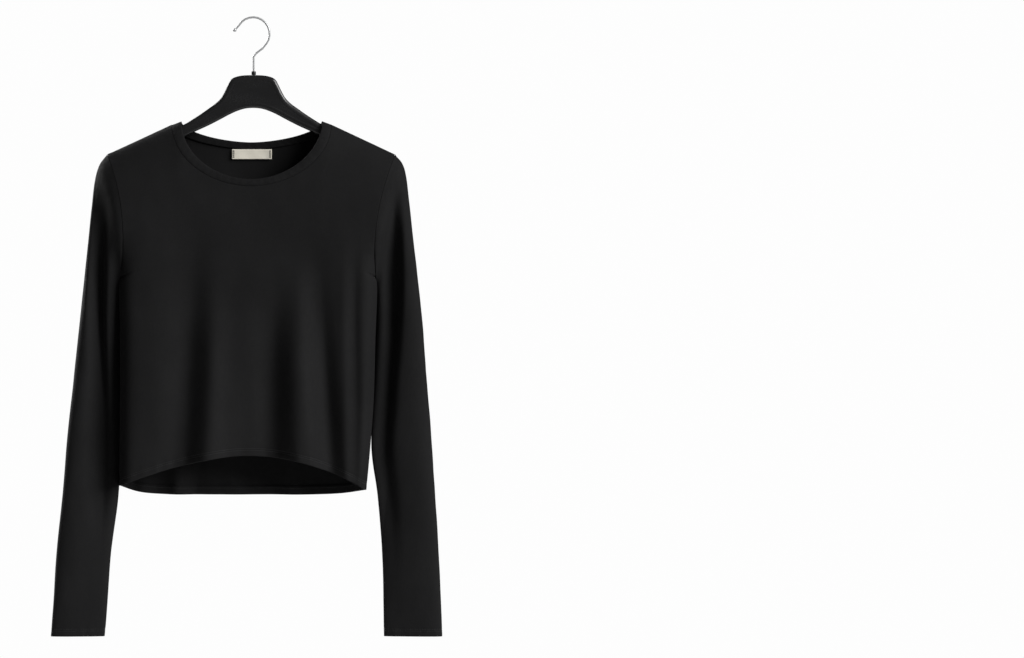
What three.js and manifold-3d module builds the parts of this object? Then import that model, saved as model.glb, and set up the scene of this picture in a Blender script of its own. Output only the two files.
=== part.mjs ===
// Long-sleeved jersey crop top hanging on a plastic hanger with a wire hook.
// Millimetres, +Z up. The origin is the inside of the hook's top, where it rests on a rail.
// +X is the viewer's right as the front is seen, and the front faces -Y.
import * as THREE from 'three';
import { mergeVertices } from 'three/addons/utils/BufferGeometryUtils.js';
import Module from 'manifold-3d';

const wasm = await Module();
wasm.setup();

const { clamp, lerp, smoothstep } = THREE.MathUtils;
const { PI, abs, cos, exp, max, min, sign, sin, sqrt } = Math;

// Walls and gaps
const CLOTH_WALL = 1.2;
const BAND_WALL = 2.0;
const LABEL_WALL = 1.0;
const SEAM_GAP = 0.3;
const ARMHOLE_GAP = 0.36;

// Shoulders: a straight ridge on each side, from beside the neck down to the sleeve
const RIDGE_TOP = -129.5;
const RIDGE_START = 88;
const SHOULDER_TIP = { x: 181, z: -171.5 };
const UNDERARM = { x: 160.5, z: -325 };
const ARMHOLE_BOW = 10.5;

// Half depths of the hanging garment, front or back, from its middle plane
const UPPER_DEPTH = 24;
const HEM_DEPTH = 32;
const ROUND_DROP = (SHOULDER_TIP.z - UNDERARM.z) / 2;
const HEM_DROP = 430;
const SIDE_PINCH = 0.35;
const UNDERARM_SWELL = { start: -230, end: -400 };

// Neckband edges: half width at the ridge, and heights at the ridge and at the middle
const NECK_FREE_EDGE = { half: 86, ridge: RIDGE_TOP, front: -202.6, back: -156.4 };
const NECK_SEAM = { half: 98, ridge: -134, front: -211.4, back: -164.2 };
const NECK_FULLNESS = { front: 2.15, back: 1.7 };
const NECK_CROWDING = 1.8;

// Hems: height at the middle, height at each side seam, and how late the curve drops
const HEM_CORNER = { left: -588, right: -593.5 };
const HEMS = { front: { middle: -550.5, power: 1.6 }, back: { middle: -598, power: 7 } };
const HEM_SPREAD = 0.8;

// Heights down the middle of each panel where the rows pass the underarm
const UNDERARM_SHARE = 0.45;
const UNDERARM_MIDDLE = -340;

// The body leans a little to the left as it hangs, and narrows at the hem
const BODY = table(['z', 'middle', 'half'], [
  [-120, -1.8, 181],
  [-172, -2.5, 181],
  [-325, -6.3, 160.5],
  [-400, -6.8, 161],
  [-480, -8, 160],
  [-541, -10.4, 158],
  [-600, -13.4, 155.6],
]);

// Sleeve sections from the armhole (first row) to the cuff (last row). Each is a flat ring between an
// outer and an inner edge, with its half depth, how far it hangs behind the middle plane, and how far
// its face bows towards the body. crease and cut place the long fold pressed into a face: crease runs
// from -1 at the inner edge to 1 at the outer edge, and cut is its depth.
const SLEEVE = table(
  ['outerZ', 'innerZ', 'depth', 'shift', 'bow', 'leftOuter', 'leftInner', 'rightOuter', 'rightInner',
    'frontCrease', 'frontCut', 'backCrease', 'backCut'],
  [
    [-171.5, -325, 24, 0, 10.5, 183.5, 166.8, 178.5, 154.2, 0.4, 0, 0.3, 0],
    [-184.5, -331, 25.5, 1, 8, 193.5, 168.2, 188.5, 155.5, 0.4, 0, 0.3, 0],
    [-205, -338, 27, 3, 5, 199.3, 168.4, 193.3, 155.5, 0.35, 3, 0.1, 3],
    [-244, -350, 28, 6, 2.5, 204.3, 168.1, 198.5, 155, 0.3, 9, -0.2, 8],
    [-290, -368, 28, 8, 1, 209.3, 167.3, 204, 154, 0.1, 12, -0.35, 10],
    [-345, -395, 27, 9, 0, 214.8, 166.9, 209.5, 153.3, -0.05, 13, -0.4, 11],
    [-405, -430, 25, 9, 0, 221.2, 167, 215, 152.6, -0.2, 12, -0.45, 10],
    [-470, -485, 22, 9, 0, 228.2, 167.2, 220.5, 151, -0.35, 9, -0.5, 8],
    [-541, -545, 19, 8, 0, 235.3, 167.8, 225.7, 149.4, -0.55, 5, -0.55, 5],
    [-605, -605, 15.5, 6, 0, 241, 172.4, 229.5, 157, -0.65, 1.5, -0.6, 1.5],
    [-675, -675, 12.5, 4, 0, 247.8, 179.5, 233.7, 162.7, -0.65, 0, -0.6, 0],
    [-778, -778, 10, 3, 0, 255, 188.5, 238.5, 165, -0.65, 0, -0.6, 0],
  ],
);
const CUFF = SLEEVE.length - 1;
const ARMHOLE_FADE = 2.2;
const ARMHOLE_TURN = { start: PI / 2, end: 0.9 * PI };
const CREASE_WIDTH = 9;
const CREASE_LIMIT = 0.6;
const INNER_PINCH = 0.45;

// Soft troughs that run down each panel to the hem, with a ridge beside each: where the trough starts
// and ends, its width and depth, the side the ridge is on and its share of the depth
const RIDGE_OFFSET = 1.8;
const FOLD_COLUMNS = ['topX', 'topZ', 'endX', 'endZ', 'width', 'depth', 'ridgeSide', 'ridge'];
const FOLDS = {
  front: table(FOLD_COLUMNS, [
    [-58, -270, -66, -560, 14, 9, 1, 0.5],
    [41, -300, 46, -560, 14, 8, 1, 0.55],
    [96, -290, 118, -580, 13, 9, -1, 0.35],
    [18, -340, 22, -560, 12, 3, -1, 0.2],
  ]),
  back: table(FOLD_COLUMNS, [
    [118, -300, 152, -590, 12, 7, -1, 0.4],
    [60, -390, 61, -598, 17, 8, -1, 0.4],
    [-14, -360, -12, -598, 13, 3, 1, 0.3],
    [-70, -320, -84, -598, 13, 8, 1, 0.5],
    [-136, -260, -140, -560, 11, 4, 1, 0.2],
  ]),
};

// Bare woven label under the back neckband
const LABEL = { left: -27.4, right: 24, top: -165.3, bottom: -178.8 };

// Hanger body: a plate with a crown, two arms that follow the shoulder ridges, and a wire hook
const HANGER_THICKNESS = 8;
const HANGER_BEVEL = 2.8;
const CROWN_TOP = -71.7;
const CROWN_CURVE = [[12, -71.9], [22.5, -74.1], [28, -75.3]];
const ARM_TIP = { x: 172.5, z: -181.5, radius: 8.5 };
const FLANK = [
  [30.2, -80.5], [34.1, -88.5], [41, -101], [56.2, -113.9], [71.4, -124.4], [84, -132.3], [92, -136.2],
];
const ARCH = [
  [71.4, -141.9], [56.2, -135], [41, -127.2], [19.5, -116.6], [9.5, -113.7], [0, -112.9],
];

const WIRE_RADIUS = 1.3;
const HOOK_RADIUS = 20.8;
const HOOK_CENTRE = WIRE_RADIUS - HOOK_RADIUS;
const HOOK_STEM_TOP = -58;
const HOOK_BEND = [[0.5, -49.5], [3.2, -45.4], [11.6, -38.4]];
const HOOK_ARC = { start: -0.62, end: 2.62, steps: 12 };
const HOOK_END = { x: -22.6, z: -14.2 };
const BALL_RADIUS = 2.3;
const SOCKET = { radius: WIRE_RADIUS + SEAM_GAP, depth: 14 };
const COLLAR = { radius: 2.8, height: 4.5 };

// Mesh density
const HALF_COLUMNS = 14;
const ARMHOLE_ROWS = 11;
const BODY_ROWS = 9;
const SLEEVE_RINGS = 22;
const LABEL_CELLS = { down: 2, across: 6 };
const OUTLINE_STEPS = 3;
const WIRE_SIDES = 8;
const WIRE_STEPS = 56;
const BORE_SIDES = 16;
const BALL_CELLS = { around: 14, over: 9 };
const COLLAR_SIDES = 20;
const NORMAL_STEP = 1e-4;

const materials = {
  jersey: new THREE.MeshStandardMaterial({ color: 0x1b1b1d, roughness: 0.92, metalness: 0 }),
  label: new THREE.MeshStandardMaterial({ color: 0xe6dfc8, roughness: 0.85, metalness: 0 }),
  plastic: new THREE.MeshStandardMaterial({ color: 0x232325, roughness: 0.42, metalness: 0 }),
  chrome: new THREE.MeshStandardMaterial({ color: 0xc9ccd0, roughness: 0.16, metalness: 1 }),
};

function table(columns, rows) {
  return rows.map((row) => Object.fromEntries(columns.map((column, i) => [column, row[i]])));
}

// Value of a column on a smooth curve through the rows: cubic pieces whose slope at each row is the
// slope between its neighbours. position counts rows.
function columnAt(rows, column, position) {
  const last = rows.length - 1;
  const i = clamp(Math.floor(position), 0, last - 1);
  const value = (k) => rows[clamp(k, 0, last)][column];
  const slope = (k) => (value(k + 1) - value(k - 1)) / (min(k + 1, last) - max(k - 1, 0));
  const u = position - i;
  const rise = u * u * (3 - 2 * u);
  return value(i) * (1 - rise) + value(i + 1) * rise
    + slope(i) * u * (1 - u) ** 2 - slope(i + 1) * u * u * (1 - u);
}

// Middle and half width of the body at a height
function bodyAt(z) {
  const last = BODY.length - 1;
  const i = clamp(BODY.findIndex((row) => row.z < z) - 1, 0, last - 1);
  const below = z < BODY[last].z ? last - 1 : i;
  const position = below + clamp((BODY[below].z - z) / (BODY[below].z - BODY[below + 1].z), 0, 1);
  return { middle: columnAt(BODY, 'middle', position), half: columnAt(BODY, 'half', position) };
}

// Height of the shoulder ridge at a distance from the middle
function ridgeHeight(x) {
  const fall = (RIDGE_TOP - SHOULDER_TIP.z) / (SHOULDER_TIP.x - RIDGE_START);
  return RIDGE_TOP - fall * max(0, x - RIDGE_START);
}

// Half depth of the garment: a quarter ellipse below the ridge, then a slow swell to the hem
function halfDepth(x, z) {
  const drop = max(0, ridgeHeight(x) - z);
  const rounded = sqrt(1 - (1 - min(drop, ROUND_DROP) / ROUND_DROP) ** 2);
  return UPPER_DEPTH * rounded + (HEM_DEPTH - UPPER_DEPTH) * smoothstep(drop, ROUND_DROP, HEM_DROP);
}

// Share of that depth from the middle of a panel (0) to its side (1), closing to a narrow round fold
const sideProfile = (share) => sqrt(max(0, 1 - share ** 4)) * (1 - SIDE_PINCH * share ** 6);

// Columns are closer together towards the side of a panel
const columnShare = (q) => 0.5 * q + 0.5 * sin(0.5 * PI * q);
const NECK_SHARE = columnShare(0.5);

// Angle round the neckline for a share of a panel, closer together towards the ridge
const neckAngle = (share) => (PI / 2) * (1 - max(0, 1 - share / NECK_SHARE) ** NECK_CROWDING);

// Neckline at an angle from its middle (0) to the ridge (a quarter turn): a rounded half ring
function neckline(edge, face, angle) {
  const power = 2 / NECK_FULLNESS[face];
  return {
    x: edge.half * sin(angle) ** power,
    z: lerp(edge.ridge, edge[face], max(0, cos(angle)) ** power),
  };
}

// Armhole from the shoulder tip (angle 0) round the face to the underarm (half a turn)
function armhole(angle) {
  const share = (1 - cos(angle)) / 2;
  const x = lerp(SHOULDER_TIP.x, UNDERARM.x, share) - ARMHOLE_BOW * sin(angle) ** 2;
  const z = lerp(SHOULDER_TIP.z, UNDERARM.z, share);
  const closing = angle > PI / 2 ? max(0, sin(angle)) : 1;
  return { x, z, depth: halfDepth(x, z) * closing };
}

function topEdge(face, share) {
  if (share <= NECK_SHARE) return neckline(NECK_SEAM, face, neckAngle(share));
  const t = (share - NECK_SHARE) / (1 - NECK_SHARE);
  return { x: lerp(NECK_SEAM.half, SHOULDER_TIP.x, t), z: lerp(NECK_SEAM.ridge, SHOULDER_TIP.z, t) };
}

function sideEdge(side, down) {
  if (down <= UNDERARM_SHARE) return armhole(PI * (down / UNDERARM_SHARE));
  const z = lerp(UNDERARM.z, HEM_CORNER[side], (down - UNDERARM_SHARE) / (1 - UNDERARM_SHARE));
  return { x: bodyAt(z).half, z, depth: 0 };
}

// Hem, with its columns spread a little outwards so that those below the neck run down clear of it
function hemEdge(face, side, share) {
  const { middle, power } = HEMS[face];
  const corner = HEM_CORNER[side];
  const reach = share ** HEM_SPREAD;
  return { x: bodyAt(corner).half * reach, z: lerp(middle, corner, reach ** power) };
}

function middleHeight(face, down) {
  if (down > UNDERARM_SHARE) {
    return lerp(UNDERARM_MIDDLE, HEMS[face].middle, (down - UNDERARM_SHARE) / (1 - UNDERARM_SHARE));
  }
  const turn = down / UNDERARM_SHARE;
  return lerp(NECK_SEAM[face], UNDERARM_MIDDLE, 0.5 * turn + 0.25 * (1 - cos(PI * turn)));
}

// How far the folds press into a face at a point
function foldAt(face, x, z) {
  return FOLDS[face].reduce((sum, fold) => {
    const t = (fold.topZ - z) / (fold.topZ - fold.endZ);
    const across = (x - lerp(fold.topX, fold.endX, clamp(t, 0, 1.2))) / fold.width;
    const beside = across - RIDGE_OFFSET * fold.ridgeSide;
    const shape = exp(-across * across) - fold.ridge * exp(-beside * beside);
    return sum + fold.depth * smoothstep(t, 0, 0.7) * shape;
  }, 0);
}

// Point of a panel. across runs from -1 at the left side to 1 at the right, down from 0 at the neck
// and shoulder to 1 at the hem. The outline's four edges are blended over the face. The depth comes
// from the garment's sections, which close to nothing at the side seam and to the armhole above it.
function panelPoint(face, across, down) {
  const side = across < 0 ? 'left' : 'right';
  const share = abs(across);
  const edge = sideEdge(side, down);
  const blend = (key) => {
    const upright = (t) => lerp(topEdge(face, t)[key], hemEdge(face, side, t)[key], down);
    const middle = key === 'z' ? middleHeight(face, down) : 0;
    return upright(share) + (1 - share) * (middle - upright(0)) + share * (edge[key] - upright(1));
  };
  const x = blend('x');
  const z = blend('z');
  const full = halfDepth(x, z);
  const openAbove = 1 - smoothstep(-z, -UNDERARM_SWELL.start, -UNDERARM_SWELL.end);
  const closing = down > 0 ? edge.depth / halfDepth(edge.x, edge.z) : 1;
  const rounded = full * lerp(lerp(openAbove, closing, share ** 10), 1, sideProfile(share));
  const out = face === 'front' ? -1 : 1;
  const signedX = sign(across) * x + bodyAt(z).middle;
  const depth = rounded - foldAt(face, signedX, z) * (1 - share ** 8);
  return new THREE.Vector3(signedX, out * depth, z);
}

// Point of a sleeve. along counts the sections from the armhole to the cuff. around is an angle: 0 at
// the outer edge, then the front, the inner edge at half a turn, and the back.
function sleevePoint(side, along, around) {
  const at = (column) => columnAt(SLEEVE, column, along);
  const out = side === 'left' ? -1 : 1;
  const face = sin(around) >= 0 ? 'front' : 'back';
  const outerX = at(`${side}Outer`);
  const innerX = at(`${side}Inner`);
  const share = (1 - cos(around)) / 2;
  const ring = (depth, bow, outer, inner) => new THREE.Vector3(
    out * (lerp(outer.x, inner.x, share) - bow * sin(around) ** 2),
    -depth * sin(around),
    lerp(outer.z, inner.z, share),
  );
  const outer = { x: outerX, z: at('outerZ') };
  const inner = { x: innerX, z: at('innerZ') };
  const pinch = 1 - INNER_PINCH * share * smoothstep(along, 0, 3);
  const point = ring(at('depth') * pinch, at('bow'), outer, inner);
  const offset = (cos(around) - at(`${face}Crease`)) * (outerX - innerX) / 2 / CREASE_WIDTH;
  const cut = min(max(0, at(`${face}Cut`)), CREASE_LIMIT * abs(point.y)) * exp(-offset * offset);
  point.y += at('shift') - sign(point.y) * cut;
  const fade = 1 - smoothstep(along, 0, ARMHOLE_FADE);
  if (fade > 0) {
    const first = SLEEVE[0];
    const start = ring(first.depth, first.bow, { x: first[`${side}Outer`], z: first.outerZ },
      { x: first[`${side}Inner`], z: first.innerZ });
    point.addScaledVector(armholePoint(side, around).sub(start), fade);
  }
  return point;
}

// Point of the armhole seam, with the angle counted as in sleevePoint
function armholePoint(side, around) {
  const turn = around % (2 * PI);
  const { x, z, depth } = armhole(turn > PI ? 2 * PI - turn : turn);
  const out = side === 'left' ? -1 : 1;
  return new THREE.Vector3(out * x + bodyAt(z).middle, turn > PI ? depth : -depth, z);
}

// Direction from the armhole seam to the inside of the ring, square to the seam
function armholeInward(side, around) {
  const next = armholePoint(side, around + NORMAL_STEP);
  const tangent = next.sub(armholePoint(side, around + 2 * PI - NORMAL_STEP)).normalize();
  const centre = armholePoint(side, 0).add(armholePoint(side, PI)).multiplyScalar(0.5);
  const inward = centre.sub(armholePoint(side, around));
  return inward.addScaledVector(tangent, -inward.dot(tangent)).normalize();
}

// Square to a surface, on the side of a reference direction
function normalTowards(reference, alongU, alongV) {
  const normal = alongU.cross(alongV).normalize();
  return normal.dot(reference) < 0 ? normal.negate() : normal;
}

function panelInward(face, across, down) {
  const step = (u, v) => panelPoint(face, clamp(across + u, -1, 1), clamp(down + v, 0, 1));
  const point = step(0, 0);
  const reference = new THREE.Vector3(bodyAt(point.z).middle - point.x, -point.y, 0);
  const alongU = step(NORMAL_STEP, 0).sub(step(-NORMAL_STEP, 0));
  const alongV = step(0, NORMAL_STEP).sub(step(0, -NORMAL_STEP));
  const inward = normalTowards(reference, alongU, alongV);
  if (down < NORMAL_STEP && abs(across) < NECK_SHARE + NORMAL_STEP) {
    const angle = sign(across) * neckAngle(abs(across));
    return bandInward(0, face === 'front' ? angle : PI - angle);
  }
  const onSide = abs(across) > 1 - NORMAL_STEP;
  const onShoulder = down < NORMAL_STEP;
  if (onShoulder || onSide && down > UNDERARM_SHARE) inward.setY(0).normalize();
  if (onSide && down < UNDERARM_SHARE) {
    const angle = PI * (down / UNDERARM_SHARE);
    const seam = armholeInward(across < 0 ? 'left' : 'right', face === 'front' ? angle : 2 * PI - angle);
    const shared = 1 - smoothstep(angle, ARMHOLE_TURN.start, ARMHOLE_TURN.end);
    inward.lerp(seam, shared).normalize();
  }
  return inward;
}

function sleeveInward(side, along, around) {
  const step = (u, v) => sleevePoint(side, clamp(along + u, 0, CUFF), around + v + 2 * PI);
  const reference = sleevePoint(side, along, around + PI).sub(step(0, 0));
  const alongU = step(NORMAL_STEP, 0).sub(step(-NORMAL_STEP, 0));
  const alongV = step(0, NORMAL_STEP).sub(step(0, -NORMAL_STEP));
  const inward = normalTowards(reference, alongU, alongV);
  if (along > 0) return inward;
  const angle = min(around, 2 * PI - around);
  const shared = 1 - smoothstep(angle, ARMHOLE_TURN.start, ARMHOLE_TURN.end);
  return inward.lerp(armholeInward(side, around), shared).normalize();
}

// Point of the neckband. width runs from 0 at the seam to 1 at the free edge, and around is an angle
// from the front middle by the viewer's right to the back.
function bandPoint(width, around) {
  const face = cos(around) >= 0 ? 'front' : 'back';
  const angle = Math.asin(min(1, abs(sin(around))));
  const seam = neckline(NECK_SEAM, face, angle);
  const free = neckline(NECK_FREE_EDGE, face, angle);
  const x = lerp(seam.x, free.x, width);
  const z = lerp(seam.z, free.z, width);
  const depth = halfDepth(x, z);
  return new THREE.Vector3(sign(sin(around)) * x + bodyAt(z).middle, face === 'front' ? -depth : depth, z);
}

function bandInward(width, around) {
  const step = (u, v) => bandPoint(clamp(width + u, 0, 1), around + v);
  const reference = new THREE.Vector3(-sin(around) * abs(sin(around)) ** 8, cos(around), -0.1);
  const alongU = step(NORMAL_STEP, 0).sub(step(-NORMAL_STEP, 0));
  const alongV = step(0, NORMAL_STEP).sub(step(0, -NORMAL_STEP));
  return normalTowards(reference, alongU, alongV);
}

function geometryFrom(positions, triangles) {
  const geometry = new THREE.BufferGeometry();
  geometry.setAttribute('position', new THREE.Float32BufferAttribute(positions, 3));
  geometry.setIndex(triangles);
  return geometry;
}

// Turns every triangle round if the closed geometry is inside out
function facingOut(geometry) {
  const position = geometry.attributes.position;
  const index = geometry.index.array;
  const [a, b, c] = [new THREE.Vector3(), new THREE.Vector3(), new THREE.Vector3()];
  let volume = 0;
  for (let i = 0; i < index.length; i += 3) {
    a.fromBufferAttribute(position, index[i]);
    b.fromBufferAttribute(position, index[i + 1]);
    c.fromBufferAttribute(position, index[i + 2]);
    volume += a.dot(b.cross(c));
  }
  if (volume > 0) return geometry;
  for (let i = 0; i < index.length; i += 3) [index[i], index[i + 1]] = [index[i + 1], index[i]];
  return geometry;
}

// Closed wall between a grid of outside points and the same grid moved in. round joins the last
// column to the first.
function wallGeometry(outside, inside, round) {
  const rows = outside.length;
  const columns = outside[0].length;
  const positions = [...outside, ...inside].flat().flatMap((point) => point.toArray());
  const at = (layer, row, column) => (layer * rows + row) * columns + (column % columns);
  const triangles = [];
  const quad = (a, b, c, d) => triangles.push(a, b, c, a, c, d);
  const lastColumn = round ? columns : columns - 1;
  for (let row = 0; row < rows - 1; row += 1) {
    for (let column = 0; column < lastColumn; column += 1) {
      quad(at(0, row, column), at(0, row + 1, column), at(0, row + 1, column + 1), at(0, row, column + 1));
      quad(at(1, row, column), at(1, row, column + 1), at(1, row + 1, column + 1), at(1, row + 1, column));
    }
  }
  for (let column = 0; column < lastColumn; column += 1) {
    quad(at(0, 0, column), at(0, 0, column + 1), at(1, 0, column + 1), at(1, 0, column));
    const end = rows - 1;
    quad(at(0, end, column), at(1, end, column), at(1, end, column + 1), at(0, end, column + 1));
  }
  for (let row = 0; row < rows - 1 && !round; row += 1) {
    const end = columns - 1;
    quad(at(0, row, 0), at(1, row, 0), at(1, row + 1, 0), at(0, row + 1, 0));
    quad(at(0, row, end), at(0, row + 1, end), at(1, row + 1, end), at(1, row, end));
  }
  return facingOut(geometryFrom(positions, triangles));
}

const steps = (count) => Array.from({ length: count + 1 }, (_, i) => i / count);

function panelGeometry(face) {
  const out = face === 'front' ? -1 : 1;
  const shares = steps(HALF_COLUMNS).map(columnShare);
  const acrosses = [...shares.slice(1).reverse().map((share) => -share), ...shares];
  const clear = (point) => point.setY(out * max(out * point.y, SEAM_GAP / 2));
  const downs = [
    ...steps(ARMHOLE_ROWS).map((t) => UNDERARM_SHARE * t),
    ...steps(BODY_ROWS).slice(1).map((t) => lerp(UNDERARM_SHARE, 1, t)),
  ];
  const outside = downs.map((down) => acrosses.map((across) => panelPoint(face, across, down)));
  const inside = outside.map((row, i) => row.map((point, j) => clear(
    point.clone().addScaledVector(panelInward(face, acrosses[j], downs[i]), CLOTH_WALL),
  )));
  outside.flat().forEach(clear);
  return wallGeometry(outside, inside, false);
}

function sleeveGeometry(side) {
  const angles = steps(2 * ARMHOLE_ROWS).slice(0, -1).map((turn) => 2 * PI * turn);
  const gap = new THREE.Vector3((side === 'left' ? -1 : 1) * ARMHOLE_GAP, 0, 0);
  const alongs = steps(SLEEVE_RINGS).map((t) => CUFF * t);
  const place = (along, point) => (along > 0 ? point : point.add(gap));
  const outside = alongs.map((along) => angles.map((turn) => place(along, sleevePoint(side, along, turn))));
  const inside = outside.map((ring, i) => ring.map(
    (point, j) => point.clone().addScaledVector(sleeveInward(side, alongs[i], angles[j]), CLOTH_WALL),
  ));
  return wallGeometry(outside, inside, true);
}

function bandGeometry() {
  const gapShare = SEAM_GAP / (NECK_SEAM.half - NECK_FREE_EDGE.half);
  const widths = [1.5 * gapShare, 0.5, 1];
  const quarter = steps(HALF_COLUMNS / 2).map((q) => neckAngle(columnShare(q / 2)));
  const half = [...quarter, ...quarter.slice(0, -1).reverse().map((turn) => PI - turn)];
  const turns = [...half, ...half.slice(1, -1).map((turn) => turn + PI)];
  const outside = widths.map((width) => turns.map((turn) => bandPoint(width, turn)));
  const inside = outside.map((ring, i) => ring.map(
    (point, j) => point.clone().addScaledVector(bandInward(i ? widths[i] : 0, turns[j]), BAND_WALL),
  ));
  return wallGeometry(outside, inside, true);
}

// The label lies on the inside of the back panel
function labelGeometry() {
  const layer = (depthIn) => steps(LABEL_CELLS.down).map((v) => steps(LABEL_CELLS.across).map((u) => {
    const x = lerp(LABEL.left, LABEL.right, u);
    const z = lerp(LABEL.top, LABEL.bottom, v);
    return new THREE.Vector3(x, halfDepth(x, z) - depthIn, z);
  }));
  const facing = CLOTH_WALL + 2 * SEAM_GAP;
  return wallGeometry(layer(facing), layer(facing + LABEL_WALL), false);
}

function toManifold(geometry) {
  geometry.deleteAttribute('normal');
  geometry.deleteAttribute('uv');
  const merged = mergeVertices(geometry, 1e-4);
  return new wasm.Manifold(new wasm.Mesh({
    numProp: 3,
    vertProperties: new Float32Array(merged.attributes.position.array),
    triVerts: new Uint32Array(merged.index.array),
  }));
}

function fromManifold(manifold) {
  const mesh = manifold.getMesh();
  return geometryFrom(Array.from(mesh.vertProperties), Array.from(mesh.triVerts));
}

// Plate outline: the right half by its crown, flank, arm, round tip and arch, then its mirror image
function hangerGeometry() {
  const path = new THREE.Path();
  path.moveTo(0, CROWN_TOP);
  path.quadraticCurveTo(...CROWN_CURVE[0], ...CROWN_CURVE[1]);
  path.quadraticCurveTo(...CROWN_CURVE[2], ...FLANK[0]);
  path.splineThru(FLANK.slice(1).map(([x, z]) => new THREE.Vector2(x, z)));
  const slope = Math.atan2(ARM_TIP.x - RIDGE_START, ARM_TIP.z - RIDGE_TOP) - PI / 2;
  path.absarc(ARM_TIP.x, ARM_TIP.z, ARM_TIP.radius, PI / 2 - slope, -PI / 2 - slope / 2, true);
  path.lineTo(...ARCH[0]);
  path.splineThru(ARCH.slice(1).map(([x, z]) => new THREE.Vector2(x, z)));
  const right = path.getPoints(OUTLINE_STEPS);
  const left = right.slice(1, -1).reverse().map((point) => new THREE.Vector2(-point.x, point.y));
  const plate = new THREE.ExtrudeGeometry(new THREE.Shape([...right, ...left]), {
    depth: HANGER_THICKNESS - 2 * HANGER_BEVEL,
    bevelThickness: HANGER_BEVEL,
    bevelSize: HANGER_BEVEL,
    bevelOffset: -HANGER_BEVEL,
    bevelSegments: 2,
  });
  plate.translate(0, 0, HANGER_BEVEL - HANGER_THICKNESS / 2).rotateX(PI / 2);
  const bore = new THREE.CylinderGeometry(SOCKET.radius, SOCKET.radius, 2 * SOCKET.depth, BORE_SIDES);
  bore.rotateX(PI / 2).translate(HOOK_BEND[0][0], 0, CROWN_TOP);
  return fromManifold(toManifold(plate).subtract(toManifold(bore)));
}

// Hook: a wire up from the socket, round the open arc and out to its ball
function hookGeometry() {
  const stem = HOOK_BEND[0][0];
  const route = [[stem, CROWN_TOP - SOCKET.depth + SEAM_GAP], [stem, CROWN_TOP], [stem, HOOK_STEM_TOP]];
  route.push(...HOOK_BEND);
  for (const t of steps(HOOK_ARC.steps)) {
    const angle = lerp(HOOK_ARC.start, HOOK_ARC.end, t);
    route.push([HOOK_RADIUS * cos(angle), HOOK_CENTRE + HOOK_RADIUS * sin(angle)]);
  }
  route.push([HOOK_END.x, HOOK_END.z]);
  const points = route.map(([x, z]) => new THREE.Vector3(x, 0, z));
  const curve = new THREE.CatmullRomCurve3(points, false, 'centripetal');
  const section = new THREE.Shape(steps(WIRE_SIDES).slice(0, -1).map(
    (turn) => new THREE.Vector2(WIRE_RADIUS * cos(2 * PI * turn), WIRE_RADIUS * sin(2 * PI * turn)),
  ));
  const wire = new THREE.ExtrudeGeometry(section, { extrudePath: curve, steps: WIRE_STEPS });
  const ball = new THREE.SphereGeometry(BALL_RADIUS, BALL_CELLS.around, BALL_CELLS.over);
  ball.translate(HOOK_END.x, 0, HOOK_END.z);
  return fromManifold(toManifold(wire).add(toManifold(ball)));
}

// Collar: a short ring round the wire, just above the crown
function collarGeometry() {
  const low = CROWN_TOP + SEAM_GAP;
  const ring = [
    [SOCKET.radius, low], [COLLAR.radius, low],
    [COLLAR.radius, low + COLLAR.height], [SOCKET.radius, low + COLLAR.height], [SOCKET.radius, low],
  ];
  const collar = new THREE.LatheGeometry(ring.map(([r, y]) => new THREE.Vector2(r, y)), COLLAR_SIDES);
  return collar.rotateX(PI / 2).translate(HOOK_BEND[0][0], 0, 0);
}

const top = new THREE.Group();

function add(name, geometry, material) {
  const mesh = new THREE.Mesh(geometry, material);
  mesh.name = name;
  top.add(mesh);
}

add('front', panelGeometry('front'), materials.jersey);
add('back', panelGeometry('back'), materials.jersey);
add('sleeve_left', sleeveGeometry('left'), materials.jersey);
add('sleeve_right', sleeveGeometry('right'), materials.jersey);
add('neckband', bandGeometry(), materials.jersey);
add('label', labelGeometry(), materials.label);
add('hanger', hangerGeometry(), materials.plastic);
add('hook', hookGeometry(), materials.chrome);
add('collar', collarGeometry(), materials.plastic);

export default top;
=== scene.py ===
"""Looks of a long-sleeved jersey crop top on a plastic hanger with a wire hook.

Laid out as an add-on and run as a script. Every piece of cloth is a surface of two parameters, on the
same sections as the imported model. Tables are in millimetres, and `MM` turns them into metres.
+X is the viewer's right as the front is seen, the front faces -Y, and +Z is up.
"""

import math

import bpy
import numpy as np
from bpy.props import FloatProperty, FloatVectorProperty, PointerProperty
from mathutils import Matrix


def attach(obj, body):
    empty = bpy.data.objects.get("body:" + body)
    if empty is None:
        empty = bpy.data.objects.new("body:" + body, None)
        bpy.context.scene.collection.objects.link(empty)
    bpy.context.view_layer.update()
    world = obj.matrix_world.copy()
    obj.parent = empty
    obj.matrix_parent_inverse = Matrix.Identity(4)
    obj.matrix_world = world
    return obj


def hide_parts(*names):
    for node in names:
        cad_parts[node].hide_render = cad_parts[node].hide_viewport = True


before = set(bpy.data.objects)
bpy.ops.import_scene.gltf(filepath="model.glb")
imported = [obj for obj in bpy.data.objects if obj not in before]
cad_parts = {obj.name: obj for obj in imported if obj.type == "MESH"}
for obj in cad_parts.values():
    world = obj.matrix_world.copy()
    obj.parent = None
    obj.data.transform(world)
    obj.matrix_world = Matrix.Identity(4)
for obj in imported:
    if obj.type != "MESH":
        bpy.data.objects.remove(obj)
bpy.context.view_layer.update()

bl_info = {
    "name": "Crop top on a hanger",
    "version": (1, 0, 0),
    "blender": (4, 5, 0),
    "location": "3D View > Sidebar > Crop top",
    "description": "Makes the cloth, label, stitches, hanger and stage around the packed model",
    "category": "Object",
}

MM = 0.001
PI = math.pi
BODY = "root"

# Which way each sleeve lies along X, and each face along Y
OUT = {"left": -1, "right": 1}
FACING = {"front": -1, "back": 1}


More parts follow.
